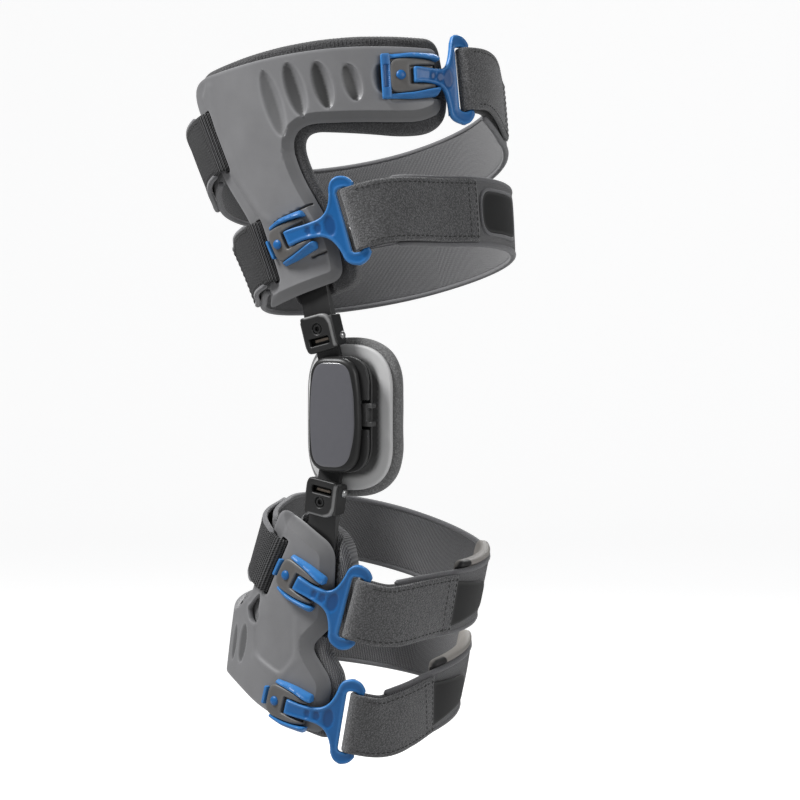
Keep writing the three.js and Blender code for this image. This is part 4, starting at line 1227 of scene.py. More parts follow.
def fasten(name, head, spots, material, body, replaces):
    """Copies of a turned head at spots, each a frame's place function and the (x, y) where the head sits."""
    head = add_object(f"{name}_head", joined(f"{name}_head", head, material))
    feet = np.array([place(x, y, 0.0) for place, x, y in spots])
    axes = np.array([place(x, y, 1.0) for place, x, y in spots]) - feet
    data = bpy.data.meshes.new(f"{name}_spots")
    data.from_pydata((feet * MM).tolist(), [], [])
    data.attributes.new("axis", "FLOAT_VECTOR", "POINT").data.foreach_set("vector", axes.ravel())
    made = grown(data, FASTENERS, {"Head": head, "Finish": material})
    bpy.data.objects.remove(head)
    return dress(add_object(name, made), body, replaces)


for half in ("thigh", "calf"):
    names = [f"{half}_upper", f"{half}_lower"]
    spots = [(on_buckle(BUCKLES[name]), RIVET_AT, 0.0) for name in names]
    rivets = [f"{name}_rivet" for name in names]
    fasten(f"{half}_rivets", turned(RIVET), spots, BLUE, f"{half}_frame", rivets)

# %% [markdown]
# ## The way of a strap
# A strap is one band of cloth. It lies in the hollow, folds back round the hook's bar in front and round
# the slot's bar behind, and each folded end is pressed on the layer below. A Curve with a bevel would twist
# on the way. Here a smooth middle line on the unrolled cuff says where any point along, across and above
# the strap is.

# %% Strap routes
STRAP = {"wall": 2.5, "width": 34.6, "gap": 0.8, "settle": 58.0, "lead": 14.0, "seat": 0.6, "layers": 0.4,
         "overlap": 0.6}
ROUTES = {
    "thigh_upper": [(95, 171), (135, 160), (185, 154), (240, 156), (290, 164)],
    "thigh_lower": [(62, 110), (105, 106), (160, 103), (225, 102), (295, 104)],
    "calf_upper": [(55, -88), (100, -83), (160, -77), (220, -71), (280, -69)],
    "calf_lower": [(56, -151), (80, -143), (115, -136), (160, -132), (210, -134)],
}
ENDS = {"thigh_upper": (61, 70), "thigh_lower": (78, 70), "calf_upper": (61.5, 62), "calf_lower": (54.5, 62)}


def smooth_line(points, samples=40):
    """A centripetal curve through the points."""
    p = np.array(points, float)
    p = np.vstack([2 * p[0] - p[1], p, 2 * p[-1] - p[-2]])
    line = []
    start, leave, end, arrive = curve_weights(np.linspace(0, 1, samples, endpoint=False)[:, None])
    for p0, p1, p2, p3 in zip(p, p[1:], p[2:], p[3:]):
        d0, d1, d2 = (np.linalg.norm(b - a) ** 0.5 for a, b in ((p0, p1), (p1, p2), (p2, p3)))
        m1 = ((p1 - p0) / d0 - (p2 - p0) / (d0 + d1) + (p2 - p1) / d1) * d1
        m2 = ((p2 - p1) / d1 - (p3 - p1) / (d1 + d2) + (p3 - p2) / d2) * d1
        line.append(start * p1 + leave * m1 + end * p2 + arrive * m2)
    return np.vstack([*line, p[-2:-1]])


print("strap ways go through", {name: len(way) for name, way in ROUTES.items()}, "points")

# %% Strap ways
FOLD_SWEEP = 75
FOLD_POINTS = 9


class StrapRoute:
    """The way of one strap: where a point at a distance along it, across it and above it lies."""

    def __init__(self, name):
        buckle = BUCKLES[name]
        self.cuff = buckle["cuff"]
        scale = self.cuff["per_degree"]
        pull = heading(buckle["ring_tilt"])
        to_bar = pull * (RING["bar"] + RING["right"]) / 2
        start = np.array([buckle["ring_turn"] * scale, buckle["ring_z"]]) + to_bar
        slot_turn, slot_z, slot_tilt = SLOTS[name]
        end = np.array([(slot_turn + 360) * scale, slot_z])
        way = [(t * scale, height) for t, height in ROUTES[name]]
        lead = STRAP["lead"]
        self.line = smooth_line([start, start + lead * pull, *way, end - lead * heading(slot_tilt), end])
        steps = np.linalg.norm(np.diff(self.line, axis=0), axis=1)
        self.at = np.concatenate([[0], np.cumsum(steps)])
        self.length = self.at[-1]
        self.ahead = np.gradient(self.line, self.at, axis=0)
        self.front, self.rear = ENDS[name]
        self.hook = self.fold(HOOK["low"], HOOK["high"], (RING["right"] - RING["bar"]) / 2)
        self.slot = self.fold(-SHELL_WALL, 0, SLOT["bar"] / 2)

    def fold(self, low, high, half):
        """Heights of the two layers at a bar, and how far past its middle the fold starts."""
        lower = low - STRAP["gap"] - STRAP["wall"] / 2
        upper = high + STRAP["gap"] + STRAP["wall"] / 2
        return {"lower": lower, "upper": upper, "shift": half - STRAP["overlap"]}

    def lift(self, s):
        return 1 - smooth_step(np.minimum(s, self.length - s), 0, STRAP["settle"])

    def height(self, layer, s):
        seat = STRAP["seat"] + STRAP["wall"] / 2
        settled = seat if layer == "lower" else seat + STRAP["wall"] + STRAP["layers"]
        fold = np.where(s < self.length / 2, self.hook[layer], self.slot[layer])
        return settled + (fold - settled) * self.lift(s)

    def place(self, s, across, out):
        within = np.clip(s, 0, self.length)
        x, y = (np.interp(within, self.at, self.line[:, k]) for k in (0, 1))
        ax, ay = (np.interp(within, self.at, self.ahead[:, k]) for k in (0, 1))
        size = np.hypot(ax, ay)
        ax, ay = ax / size, ay / size
        x, y = x + ax * (s - within), y + ay * (s - within)
        turn, z = (x - across * ay) / self.cuff["per_degree"], y + across * ax
        low = wall(self.cuff, "hollow", turn, z, out)
        high = wall(self.cuff, "form", turn, z, SHELL_WALL + out)
        return low + (high - low) * self.lift(s)[:, None]

    def true_length(self, samples=400):
        """The length of the inner layer's middle line in the shared frame, from bar to bar."""
        s = np.linspace(0, self.length, samples)
        line = self.place(s, np.zeros(samples), self.height("lower", s))
        return np.linalg.norm(np.diff(line, axis=0), axis=1).sum()

    def path(self, step=1.8):
        """(distance, height, layer) along the band: -1 on the front fold, 0 inside, 1 on the rear fold."""
        def run(layer, a, b, tag):
            s = np.linspace(a, b, max(2, math.ceil(abs(b - a) / step)))
            return np.stack([s, self.height(layer, s), np.full(len(s), tag)], 1)

        def turn_back(fold, centre, side, tag):
            a = np.radians(np.linspace(-FOLD_SWEEP, FOLD_SWEEP, FOLD_POINTS))
            radius, middle = (fold["upper"] - fold["lower"]) / 2, (fold["upper"] + fold["lower"]) / 2
            along, up = centre + side * radius * np.cos(a), middle + side * radius * np.sin(a)
            return np.stack([along, up, np.full(FOLD_POINTS, tag)], 1)

        hook_end, slot_end = -self.hook["shift"], self.length + self.slot["shift"]
        return np.vstack([
            run("upper", self.front, hook_end, -1), turn_back(self.hook, hook_end, -1, -1),
            run("lower", hook_end, slot_end, 0), turn_back(self.slot, slot_end, 1, 1),
            run("upper", slot_end, self.length - self.rear, 1),
        ])


routes = {name: StrapRoute(name) for name in BUCKLES}
for name, route in routes.items():
    print(name, "strap", round(route.true_length()), "mm from bar to bar")

# %% [markdown]
# ## Bands and bindings
# The band is felt on its front fold, ribbed knit inside and woven behind, with bound edges a little thicker
# than the cloth. Cloth simulation could drape it, but both folds have to stay on their bars, so a
# cross-section is lofted along the way, with rounded ends and a slight sway. The bindings are rolls lofted
# along both edges.

# %% Strap tools
SWAY = {"size": (0.16, 0.12, 0.08), "length": (31, 17, 9)}
BAND_END, ROLL_END = 1.6, 2.5
ROLL_SIDES = 12


def loft(rings, uv):
    """A closed solid through rings of points, with flat ends, as (points, faces, uv, masks)."""
    rows, count = rings.shape[:2]
    index = np.arange(rows * count).reshape(rows, count)
    nxt = np.roll(index, -1, 1)
    quads = np.stack([index[:-1], index[1:], nxt[1:], nxt[:-1]], -1).reshape(-1, 4)
    points = rings.reshape(-1, 3)
    a, b, c, d = (points[quads[:, k]] for k in range(4))
    volume = np.sum(a * np.cross(b, c)) + np.sum(a * np.cross(c, d))
    faces = quads.tolist() + [index[0].tolist(), index[-1][::-1].tolist()]
    if volume < 0:
        faces = [face[::-1] for face in faces]
    return points, faces, uv.reshape(-1, 2), masks(np.ones(len(points)))


def rounded_ends(run, reach):
    """How much of its thickness a band keeps near its two ends."""
    end = np.minimum(np.minimum(run - run[0], run[-1] - run) / reach, 1)
    return np.sqrt(np.clip(1 - (1 - end) ** 2, 0.02, 1))


def band(route, seed):
    """A strap's mesh, and for each face the layer that it lies in."""
    path = route.path()
    s, h, tag = path.T
    ahead = np.gradient(path[:, :2], axis=0)
    ahead /= np.linalg.norm(ahead, axis=1)[:, None]
    run = np.concatenate([[0], np.cumsum(np.linalg.norm(np.diff(path[:, :2], axis=0), axis=1))])
    half, corner = STRAP["width"] / 2, STRAP["wall"] / 2
    turn = np.radians([0, 30, 60, 90])
    edge_x, edge_y = half - corner + corner * np.cos(turn), corner * np.sin(turn)
    x = np.concatenate([edge_x, np.linspace(half - corner - 2, corner + 2 - half, 9), -edge_x[::-1]])
    y = np.concatenate([edge_y, np.full(9, corner), edge_y[::-1]])
    rng = np.random.default_rng(seed)
    waves = zip(SWAY["size"], SWAY["length"], rng.uniform(0, 6, 3))
    sway = sum(size * np.sin(run / length + start) for size, length, start in waves)
    thin = rounded_ends(run, BAND_END)
    rings, uvs = [], []
    for side in (1, -1):
        t = side * thin[:, None] * y[None, :]
        drape = sway[:, None] * np.sin(x[None, :] / 9 + run[:, None] / 40) * (tag == 0)[:, None]
        rows, outs = s[:, None] - ahead[:, 1:] * t, h[:, None] + ahead[:, :1] * t + drape
        across = np.broadcast_to(x, rows.shape)
        rings.append(route.place(rows.ravel(), across.ravel(), outs.ravel()).reshape(*rows.shape, 3))
        uvs.append(np.stack([np.broadcast_to(run[:, None], rows.shape), across], -1))
    loop = np.concatenate([rings[0], rings[1][:, -2:0:-1]], 1)
    uv = np.concatenate([uvs[0], uvs[1][:, -2:0:-1]], 1)
    layers = np.append(np.repeat(tag[:-1], loop.shape[1]), (-1, 1))
    return loft(loop, uv), layers


def roll(route, layer, start, end, across, wide, thick):
    """A rolled binding along one edge of a strap."""
    s = np.linspace(start, end, max(8, round((end - start) / 2)))
    a = np.linspace(0, 2 * math.pi, ROLL_SIDES, endpoint=False)
    thin = rounded_ends(s, ROLL_END)[:, None]
    rows = np.broadcast_to(s[:, None], (len(s), ROLL_SIDES))
    beside = across + wide / 2 * thin * np.cos(a)[None, :]
    outs = route.height(layer, s)[:, None] + thick / 2 * thin * np.sin(a)[None, :]
    rings = route.place(rows.ravel(), beside.ravel(), outs.ravel()).reshape(len(s), ROLL_SIDES, 3)
    return loft(rings, np.stack([rows, np.broadcast_to(a * thick / 2, rows.shape)], -1))


print("bands are", STRAP["wall"], "mm thick and", STRAP["width"], "mm wide")

# %% Bands and bindings
STRAP_CLOTHS = [FELT, RIBBED, WOVEN]  # for the layers -1, 0 and 1
SOFT_ANGLE = 60
LOWER_ROLL = {"start": 18, "end": 14, "across": 17.9, "wide": 3.2, "thick": 3.5}
UPPER_ROLL = {"start": 1, "end": 3, "across": 17.0, "wide": 2.8, "thick": 3.2}
for name, route in routes.items():
    part, layers = band(route, seed=len(name))
    make_piece(f"{name}_webbing", part, STRAP_CLOTHS, route.cuff["body"], "strap_cloth",
               [f"{name}_strap"], sharp=SOFT_ANGLE, material_of=layers.astype(int) + 1)
    rolls = []
    for side in (-1, 1):
        for layer, tip, size in (("lower", 0, LOWER_ROLL), ("upper", route.length - route.rear, UPPER_ROLL)):
            start, end = tip + size["start"], route.length - size["end"]
            rolls.append(roll(route, layer, start, end, side * size["across"], size["wide"], size["thick"]))
    make_piece(f"{name}_binding", rolls, BINDING, route.cuff["body"], "strap_cloth", sharp=SOFT_ANGLE)

# %% [markdown]
# ## Tabs and inner pads
# Past the end of each felt fold lies what it fastens to: a black inset patch with piping on the lower thigh
# strap, and a black tapered pull tab on each calf strap. Smooth rolled pads lie inside the calf straps, each
# painted near black at its near end. They could be boxes bent along the strap. As plates laid in the strap's
# own frame they follow it by themselves: s along it, across it, and h above one of its layers.

# %% Patch and piping
PATCH = {"start": 5, "end": 50, "half": 11.5, "piping": (2, 1.9)}


def on_strap(route, layer):
    return lambda s, across, h: route.place(s, across, route.height(layer, s) + h)


def patch_corners(start, end, half, near, far):
    return [(start, -half, near), (end, -half, far), (end, half, far), (start, half, near)]


route = routes["thigh_lower"]
start, end, half = route.front + PATCH["start"], route.front + PATCH["end"], PATCH["half"]
ahead, beside = PATCH["piping"]
patch = rounded(patch_corners(start, end, half, 10, 5))
piping = rounded(patch_corners(start - ahead, end + ahead, half + beside, 11, 6))
place = on_strap(route, "lower")
make_piece("thigh_lower_patch", plate(patch, rimmed(2.2, 0.5), even(1.0), place, grid=2.0),
           TAB, "thigh_frame", "strap_cloth")
make_piece("thigh_lower_piping",
           plate(piping, rimmed(2.7, 0.9), even(1.0), place, [patch], grid=1.0, rims=(0.2, 0.5, 0.85)),
           BINDING, "thigh_frame", "strap_cloth")

# %% Tabs and inner pads
TAB_SIZE = {"back": 1.5, "end": 34, "wide": 13.5, "narrow": 8.5}
PAD = {"start": 3, "end": 74, "low": 3, "high": 23.5, "top": -1.7, "bottom": -5.6, "lip": 2.6, "dark_reach": 11}


def pad_part(route):
    """A pad inside a strap's upper edge. Its upper lip rolls out and its near end is painted near black."""
    start, end = route.front + PAD["start"], route.front + PAD["end"]
    corners = [(start, PAD["low"], 4), (end, PAD["low"], 8), (end, PAD["high"], 8), (start, PAD["high"], 4)]

    def top(u, v, edge):
        return PAD["top"] + PAD["lip"] * smooth_step(v, 18.8, 21) - round_rim(edge, 2.4)

    def bottom(u, v, edge):
        return PAD["bottom"] + round_rim(edge, 1.8)

    # The near end is painted near black.
    def darkened_end(u, v, edge):
        return smooth_step(start + PAD["dark_reach"] - u, 0, 0.6)

    return plate(rounded(corners), top, bottom, on_strap(route, "lower"), grid=2.0, hollow=darkened_end,
                 rims=(0.3, 0.8, 1.6, 2.4))


for name in ("calf_upper", "calf_lower"):
    route = routes[name]
    start, end = route.front - TAB_SIZE["back"], route.front + TAB_SIZE["end"]
    wide, narrow = TAB_SIZE["wide"], TAB_SIZE["narrow"]
    tab = rounded([(start, -wide, 1), (end, -narrow, 6), (end, narrow, 6), (start, wide, 1)])
    part = plate(tab, rimmed(0.9, 0.8), rimmed(-0.9, 0.5, -1), on_strap(route, "upper"), grid=1.8)
    make_piece(f"{name}_tab", part, TAB, "calf_frame", "strap_cloth")
    made = make_piece(f"{name}_cushion", pad_part(route), TAUPE, "calf_frame", "strap_cloth")

# %% [markdown]
# ## Stitches
# Black thread runs along both edges of each folded end and across its tip, and the thigh liner's upper rim
# is sewn over in close ribs. Placing hundreds of threads by hand would be slow. A Geometry Nodes tree turns
# seam lines into evenly spaced points and puts one short thread on each, turned along the seam. The tree is
# built once, with inputs for the pitch and the thread, and its result is made a plain mesh.

# %% Stitch tree
STITCH = {"pitch": 3.1, "length": 1.2, "radius": 0.38, "sides": 7}


def stitch_tree():
    tree, given = new_tree("stitches", {
        "Pitch": "Float", "Thread Length": "Float", "Thread Radius": "Float", "Sides": "Int",
        "Thread": "Material"})
    curve = add_node(tree, "GeometryNodeMeshToCurve", {"Mesh": given["Geometry"]})
    spaced = add_node(tree, "GeometryNodeResampleCurve",
                      {"Curve": curve.outputs["Curve"], "Length": given["Pitch"]}, mode="LENGTH")
    tangent = add_node(tree, "GeometryNodeInputTangent")
    turn = add_node(tree, "FunctionNodeAlignRotationToVector", {"Vector": tangent.outputs[0]}, axis="X")
    ball = add_node(tree, "GeometryNodeMeshUVSphere", {
        "Segments": given["Sides"], "Rings": given["Sides"], "Radius": 1.0})
    size = add_node(tree, "ShaderNodeCombineXYZ", {
        "X": given["Thread Length"], "Y": given["Thread Radius"], "Z": given["Thread Radius"]})
    thread = add_node(tree, "GeometryNodeTransform", {
        "Geometry": ball.outputs["Mesh"], "Scale": size.outputs[0]})
    placed = add_node(tree, "GeometryNodeInstanceOnPoints", {
        "Points": spaced.outputs["Curve"], "Instance": thread.outputs["Geometry"],
        "Rotation": turn.outputs["Rotation"]})
    real = add_node(tree, "GeometryNodeRealizeInstances", {"Geometry": placed.outputs["Instances"]})
    smooth = add_node(tree, "GeometryNodeSetShadeSmooth", {"Geometry": real.outputs["Geometry"]})
    return finish_tree(tree, smooth.outputs["Geometry"], given["Thread"])


STITCHES = stitch_tree()


def sew(name, lines, body, thread=STITCH, material=THREAD):
    """One mesh of threads along the seam lines, which are arrays of points in millimetres."""
    data = bpy.data.meshes.new(f"{name}_seams")
    points, edges = [], []
    for line in lines:
        start = len(points)
        points += (np.asarray(line) * MM).tolist()
        edges += [(start + i, start + i + 1) for i in range(len(line) - 1)]
    data.from_pydata(points, edges, [])
    made = grown(data, STITCHES, {
        "Pitch": thread["pitch"] * MM, "Thread Length": thread["length"] * MM,
        "Thread Radius": thread["radius"] * MM, "Sides": thread["sides"], "Thread": material})
    return dress(add_object(name, made), body)


# %% Ribs on the liner
RIB = {"pitch": 2.1, "length": 0.42, "radius": 3.5, "sides": 20}
RIB_INSET = 3.4
UPPER_RIM = [(-12, 215.2), (19, 216), (60, 205.5)]


def liner_rim(cuff, corners, run, inset):
    """A line along a liner's outline near a run of (turn, z) points, an even way in from its rim."""
    scale = np.array([cuff["per_degree"], 1])
    line = marked(rounded(unrolled(cuff, corners)), np.array(run) * scale, 3.0) - (0, inset)
    low, high, depth = liner_space(cuff, line[:, 0], line[:, 1])
    return low + (high - low) * (1 - inset / depth)[:, None]


upper_rim = liner_rim(THIGH, THIGH_LINER, UPPER_RIM, RIB_INSET)
sew("thigh_liner_ribs", [upper_rim], "thigh_frame", RIB, LINING)

# %% Strap stitches
THREAD_TOP = STRAP["wall"] / 2 - 0.04
FRONT_SEAM = {"start": 3.5, "end": 2.4, "row": 6, "edge": 2.7}
REAR_SEAM = {"start": 2, "end": 4, "row": 2.4, "edge": 2.6}


def seam_lines(route, start, end, edge, rows):
    """Seam lines on a folded end: along both edges from start to end, and across at each of the rows."""
    half = STRAP["width"] / 2 - edge
    lines = [(np.linspace(start, end, 60), np.full(60, side)) for side in (-half, half)]
    lines += [(np.full(24, row), np.linspace(-half, half, 24)) for row in rows]
    return [route.place(s, across, route.height("upper", s) + THREAD_TOP) for s, across in lines]


def front_seams(route):
    f = FRONT_SEAM
    rows = [route.front - back for back in (f["end"], f["end"] + f["row"])]
    return seam_lines(route, f["start"], route.front - f["end"], f["edge"], rows)


def rear_seams(route):
    r, tip = REAR_SEAM, route.length - route.rear
    return seam_lines(route, tip + r["start"], route.length - r["end"], r["edge"], [tip + r["row"]])


for half in ("thigh", "calf"):
    seams = []
    for level in ("upper", "lower"):
        route = routes[f"{half}_{level}"]
        seams += front_seams(route) + rear_seams(route)
    sew(f"{half}_stitches", seams, f"{half}_frame")

# %% [markdown]
# ## Hinge
# The hinge is a stack of flat plates on the outer side: a glossy slate cover in a black bezel, and two
# black plates joined by a steel clip. Bevelled boxes would miss the slightly waisted cover. Each is a plate
# whose height is measured outwards from the plane of the arms.

# %% Hinge cover
ARM_PLANE = 73
FACE = [(-10.4, -16.4, 9), (12.5, -16.8, 8.5), (17.2, 2, 8), (16.2, 28, 9), (12.6, 41.2, 6.5),
        (-8.8, 41.6, 7.5), (-11.8, 27, 9), (-12.2, 2, 9)]
BEZEL_EDGE = [(-13.2, -18.6, 12), (16.5, -19, 11.5), (19.6, 3, 9), (18.6, 29, 9), (15.2, 43.8, 10),
              (-11, 44, 10), (-13.6, 27, 9), (-14, 3, 9)]
BEZEL_SHAPE = {"height": 9.35, "round": 2.8, "crown": 0.003, "middle": 4}
FACE_SHAPE = {"height": 10.1, "round": 1.1, "crown": (0.0045, 0.0007), "middle": (3, 12.6)}


def on_hinge(x, z, h):
    return np.stack([x, -ARM_PLANE - h, z], -1)


def bezel_top(u, v, edge):
    b = BEZEL_SHAPE
    return b["height"] - round_rim(edge, b["round"]) - b["crown"] * (u - b["middle"]) ** 2


def face_top(u, v, edge):
    f = FACE_SHAPE
    (across, along), (x, z) = f["crown"], f["middle"]
    return f["height"] - round_rim(edge, f["round"]) - across * (u - x) ** 2 - along * (v - z) ** 2


bezel = plate(rounded(BEZEL_EDGE), bezel_top, rimmed(4.95, 0.6, -1), on_hinge, grid=1.8,
              rims=(0.3, 0.7, 1.2, 1.8, 2.8))
make_piece("hinge_bezel", bezel, BEZEL, "hinge_center", "gloss_cover", ["hinge_cover"])
face = plate(rounded(FACE, 0.8), face_top, even(7.5), on_hinge, grid=1.6, rims=(0.2, 0.5, 0.8, 1.1))
make_piece("hinge_face", face, SLATE, "hinge_center", "gloss_cover")

# %% Hinge plates
COVER_AT = (4, 12.6)
OUTER_PLATE = [
    (-14.5, -19.4, 14), (22.5, -19.4, 15), (22.5, 4.6, 0.8), (17.6, 4.6, 0.8), (17.6, 20.6, 0.8),
    (22.5, 20.6, 0.8), (22.5, 44.6, 15), (-14.5, 44.6, 14),
]
CLIP = [(17.8, 6.2, 0.7), (24.4, 6.2, 0.7), (24.4, 9.0, 0.5), (21.4, 9.0, 0.5), (21.4, 16.2, 0.5),
        (24.4, 16.2, 0.5), (24.4, 19.0, 0.7), (17.8, 19.0, 0.7)]


def faint(u, v, edge):
    """A rim with little wear."""
    return 0.3 + edge / RIM_WIDTH


def centred(x, z, width, height, round_):
    return rounded(box_corners(x - width / 2, x + width / 2, z - height / 2, z + height / 2, round_))


outer = plate(rounded(OUTER_PLATE, 0.8), rimmed(4.6, 0.6), rimmed(2, 0.5, -1), on_hinge, rim=faint)
make_piece("hinge_outer_plate", outer, BLACK, "hinge_center", "black_metal", ["hinge_front_plate"])
inner = plate(centred(*COVER_AT, 34, 61, 14), rimmed(-1.9, 0.5), rimmed(-3.9, 0.5, -1), on_hinge, rim=faint)
make_piece("hinge_inner_plate", inner, BLACK, "hinge_center", "black_metal", ["hinge_back_plate"])
clip = plate(rounded(CLIP, 0.5), rimmed(3.6, 0.4), rimmed(-1.5, 0.3, -1), on_hinge, grid=1.0, rims=(0.2, 0.4))
make_piece("hinge_clip", clip, CLIP_STEEL, "hinge_center", "steel", ["hinge_stop_clip"])

# %% [markdown]
# ## Pale dish and foam pad
# Inside the hinge lies a pale dished plate with a sunken well, painted dark with the hinge's shadow, and a
# foam pad behind it. A scaled sphere would give the dish, but not its flat rim. Both are plates laid on a
# shallow bowl, and the pad's rim is rolled.

# %% Dish and pad
CONDYLE = (4, 10.8)
BOWL = (0.0035, 0.0008)
DISH = {"height": -4.3, "round": 1.0, "well": 1.2, "slope": (5.5, 9), "painted_shade": (6.0, 8.8)}
FOAM_BACK = {"height": -13.4, "round": 3.2, "wave": 0.15}


def dished(x, z, h):
    return on_hinge(x, z, h - BOWL[0] * (x - CONDYLE[0]) ** 2 - BOWL[1] * (z - CONDYLE[1]) ** 2)


def dish_top(u, v, edge):
    return DISH["height"] - round_rim(edge, DISH["round"]) - DISH["well"] * smooth_step(edge, *DISH["slope"])


# The hinge's painted shadow: the dish darkens from its rim towards the middle.
def well(u, v, edge):
    return smooth_step(edge, *DISH["painted_shade"])


def pad_low(u, v, edge):
    wave = FOAM_BACK["wave"] * np.sin(u * 0.4) * np.sin(v * 0.3)
    return FOAM_BACK["height"] + round_rim(edge, FOAM_BACK["round"]) + wave


dish = plate(centred(*CONDYLE, 53.5, 80.5, 25.5), dish_top, rimmed(-6.6, 0.5, -1), dished, hollow=well,
             grid=1.8)
make_piece("condyle_dish", dish, PALE, "hinge_center", "pale_plastic", ["condyle_plate"])
foam = plate(centred(*CONDYLE, 60.5, 88, 29.5), rimmed(-6.95, 2.6), pad_low, dished, grid=2.2,
             rims=(0.3, 0.8, 1.6, 2.6))
pad = make_piece("condyle_cushion", foam, FOAM, "hinge_center", "foam", ["condyle_pad"])

# %% [markdown]
# ## Arms and axles
# The hinge arms and axles keep their solid's shape. They could stay as they are, but sharp edges look
# unreal. A copy of each solid is welded, its flat facets are joined, and a Bevel modifier rounds its edges,
# so that they catch the light.

# %% Bevelled metal
BEVEL = {"weld": 2e-5, "flat": 2, "angle": 38, "segments": 3}


def bevelled(node, name, width, material, body):
    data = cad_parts[node].data.copy()
    made = bmesh.new()
    made.from_mesh(data)
    bmesh.ops.remove_doubles(made, verts=made.verts, dist=BEVEL["weld"])
    bmesh.ops.dissolve_limit(made, angle_limit=math.radians(BEVEL["flat"]), verts=made.verts,
                             edges=made.edges)
    made.to_mesh(data)
    made.free()
    rough = add_object(f"{name}_rough", data)
    bevel = rough.modifiers.new("bevel", "BEVEL")
    bevel.width = width * MM
    bevel.segments = BEVEL["segments"]
    bevel.limit_method = "ANGLE"
    bevel.angle_limit = math.radians(BEVEL["angle"])
    smooth = evaluated(rough)
    smooth.materials.clear()
    smooth.materials.append(material)
    smooth.polygons.foreach_set("use_smooth", [True] * len(smooth.polygons))
    smooth.set_sharp_from_angle(angle=math.radians(SHARP_ANGLE))
    smooth.attributes.new("rim", "FLOAT", "POINT").data.foreach_set("value", np.ones(len(smooth.vertices)))
    return dress(add_object(name, smooth), body, [node])


for arm in ("upper", "lower"):
    bevelled(f"{arm}_arm", f"{arm}_arm_plate", 0.4, BLACK, f"hinge_{arm}_arm")
    bevelled(f"hinge_pivot_{arm}", f"hinge_axle_{arm}", 0.3, STEEL, "hinge_center")

# %% [markdown]
# ## Brackets
# Each bar ends in a bracket: two ears beside the tilt pin, a web, and a cover plate with a round corner, a
# screw and a window over the knuckle. Modelled in place it would be hard to measure, because it leans two
# ways. So it is drawn flat in its own frame, with the pin at the origin, y along the bar and h outwards,
# and the frame is then tilted on its pin and turned on its pivot.

# %% Bracket plates
PIN_REACH = 29
EAR = {"inside": 7.8, "outside": 10.5}
BAR_SLOPE = {"low": 1.5, "rise": 2.0, "from": -30, "to": -12}
SCREW_AT = 6.4


def on_bracket(pivot, turn, tilt):
    ct, st = heading(tilt)
    c, s = heading(turn)

    def place(x, y, h):
        out, up = -h * ct - y * st, -h * st + y * ct + PIN_REACH
        return np.stack([x * c + up * s, out - ARM_PLANE, up * c - x * s + pivot], -1)

    return place


def bar_top(u, v, edge):
    rise = BAR_SLOPE["rise"] * smooth_step(-v, BAR_SLOPE["from"], BAR_SLOPE["to"])
    return BAR_SLOPE["low"] + rise - round_rim(edge, 0.6)


def bracket_lid(place, front):
    """The cover plate, with a painted highlight along its round corner. front is 1 or -1, the side of x in
    front.
    """
    corner = np.array([(-6, 14.2), (3, 14.2), (7.4, 12.2), (9.2, 8), (9.2, -4)]) * (front, 1)
    cover = [(-front * 9.4, -6.4, 3), (front * 9.2, -6.4, 1.5), (front * 9.2, 14.2, 6.5),
             (-front * 9.4, 14.2, 1.5)]
    holes = [rounded(box_corners(-6.8, 6.0, -2.4, 1.6, 0.8), 0.6), ellipse(0, SCREW_AT, 2.9, 2.9)]

    # Painted highlight: the rim mask is low along the round corner, where the bright edge colour shows.
    def painted_highlight(u, v, edge):
        return np.maximum(line_distance(np.stack([u, v], 1), corner) / 4.2, 0.1)

    return plate(rounded(cover, 0.7), rimmed(7.9, 0.9), rimmed(5.0, 0.3, -1), place, holes, rim=painted_highlight, grid=1.3,
                 rims=(0.25, 0.55, 0.9))


def bracket_ear(place, side):
    """An ear beside the knuckle. side is 1, or -1 for a mirror image with its faces turned round."""
    shape = rounded([(-5, -3.2, 3), (12.2, -3.2, 1), (12.2, 6.6, 1), (-5, 6.6, 4)], 0.7)

    def beside(y, h, t):
        return place(side * (EAR["inside"] + t), y, h)

    thickness = EAR["outside"] - EAR["inside"]
    points, faces, uv, marks = plate(shape, rimmed(thickness, 0.6), rimmed(0, 0.3, -1), beside, grid=1.6,
                                     rim=faint)
    return points, faces if side == 1 else [face[::-1] for face in faces], uv, marks


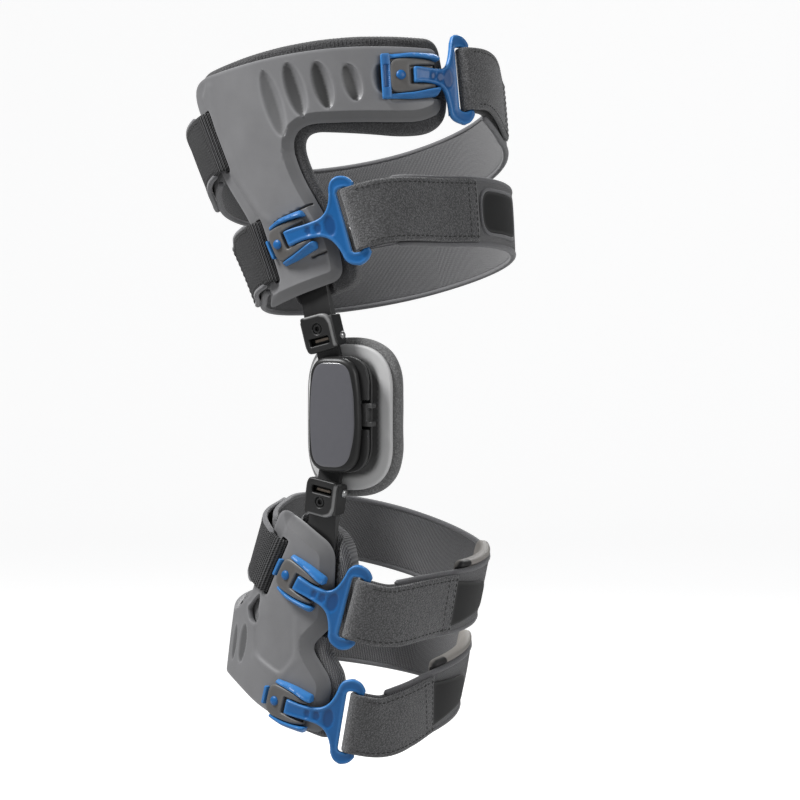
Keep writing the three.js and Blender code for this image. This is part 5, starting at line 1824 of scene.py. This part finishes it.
def bracket_parts(place, length, front):
    bar = plate(rounded(box_corners(-9, 9, 8, 8 + length, 0.8)), bar_top, rimmed(-1.5, 0.5, -1), place,
                grid=1.8, rim=faint)
    web = plate(rounded(box_corners(-9.2, 10.4, 8, 12.2, 0.8)), rimmed(5.4, 0.4), even(-1.4), place, grid=2.0,
                rim=faint)
    return [bar, web, bracket_lid(place, front), bracket_ear(place, 1), bracket_ear(place, -1)]


print("brackets tilt on a pin", PIN_REACH, "mm from the pivot")

# %% Brackets
BRACKET_COLUMNS = ("arm", "pivot", "turn", "tilt", "length", "front")
BRACKETS = {"thigh": ("upper", 25.5, -13, 4.5, 60, 1), "calf": ("lower", -0.5, 191, -5, 70, -1)}
PIN_HEAD = [(0, 12.1), (1.2, 11.9), (2.1, 11.3), (2.4, 10.6), (1.8, 10.55)]


def hex_socket_screw(radius=2.6, socket=1.5):
    """A headless screw: a round body with a hexagon sunk in its end."""
    a = np.arange(TURN_SIDES) * 2 * math.pi / TURN_SIDES
    hexagon = socket * math.cos(math.pi / 6) / np.cos((a + math.pi / 6) % (math.pi / 3) - math.pi / 6)
    return turned([(0, 3.4), (radius, 3.4), (radius, 7.1), (radius - 0.3, 7.4), (hexagon + 0.1, 7.4),
                   (hexagon, 7.2), (hexagon, 6.0), (0, 6.0)])


def along_x(place):
    return lambda x, y, h: place(h, x, y)


both_heads = turned([(r, -h) for r, h in PIN_HEAD] + PIN_HEAD[::-1])
strip_outline = rounded(box_corners(-4.6, 4.4, -0.9, 0.9, 0.4), 0.5)
for half, row in BRACKETS.items():
    b = dict(zip(BRACKET_COLUMNS, row))
    place = on_bracket(b["pivot"], b["turn"], b["tilt"])
    body = f"{half}_frame"
    parts = bracket_parts(place, b["length"], b["front"])
    make_piece(f"{half}_bracket", parts, BLACK, body, "black_metal", [f"{half}_upright"])
    screw_spot = [(place, 0.0, SCREW_AT)]
    fasten(f"{half}_screw", hex_socket_screw(), screw_spot, BLACK, body, [f"{half}_set_screw"])
    pin_spot = [(along_x(place), 0.0, 0.0)]
    fasten(f"{half}_pin", both_heads, pin_spot, STEEL, body, [f"{half}_tilt_pin"])
    strip = plate(strip_outline, rimmed(4.9, 0.3), even(3.6), place, grid=1.0, rims=(0.3,))
    make_piece(f"{half}_knuckle_strip", strip, BRASS, f"hinge_{b['arm']}_arm", "steel")
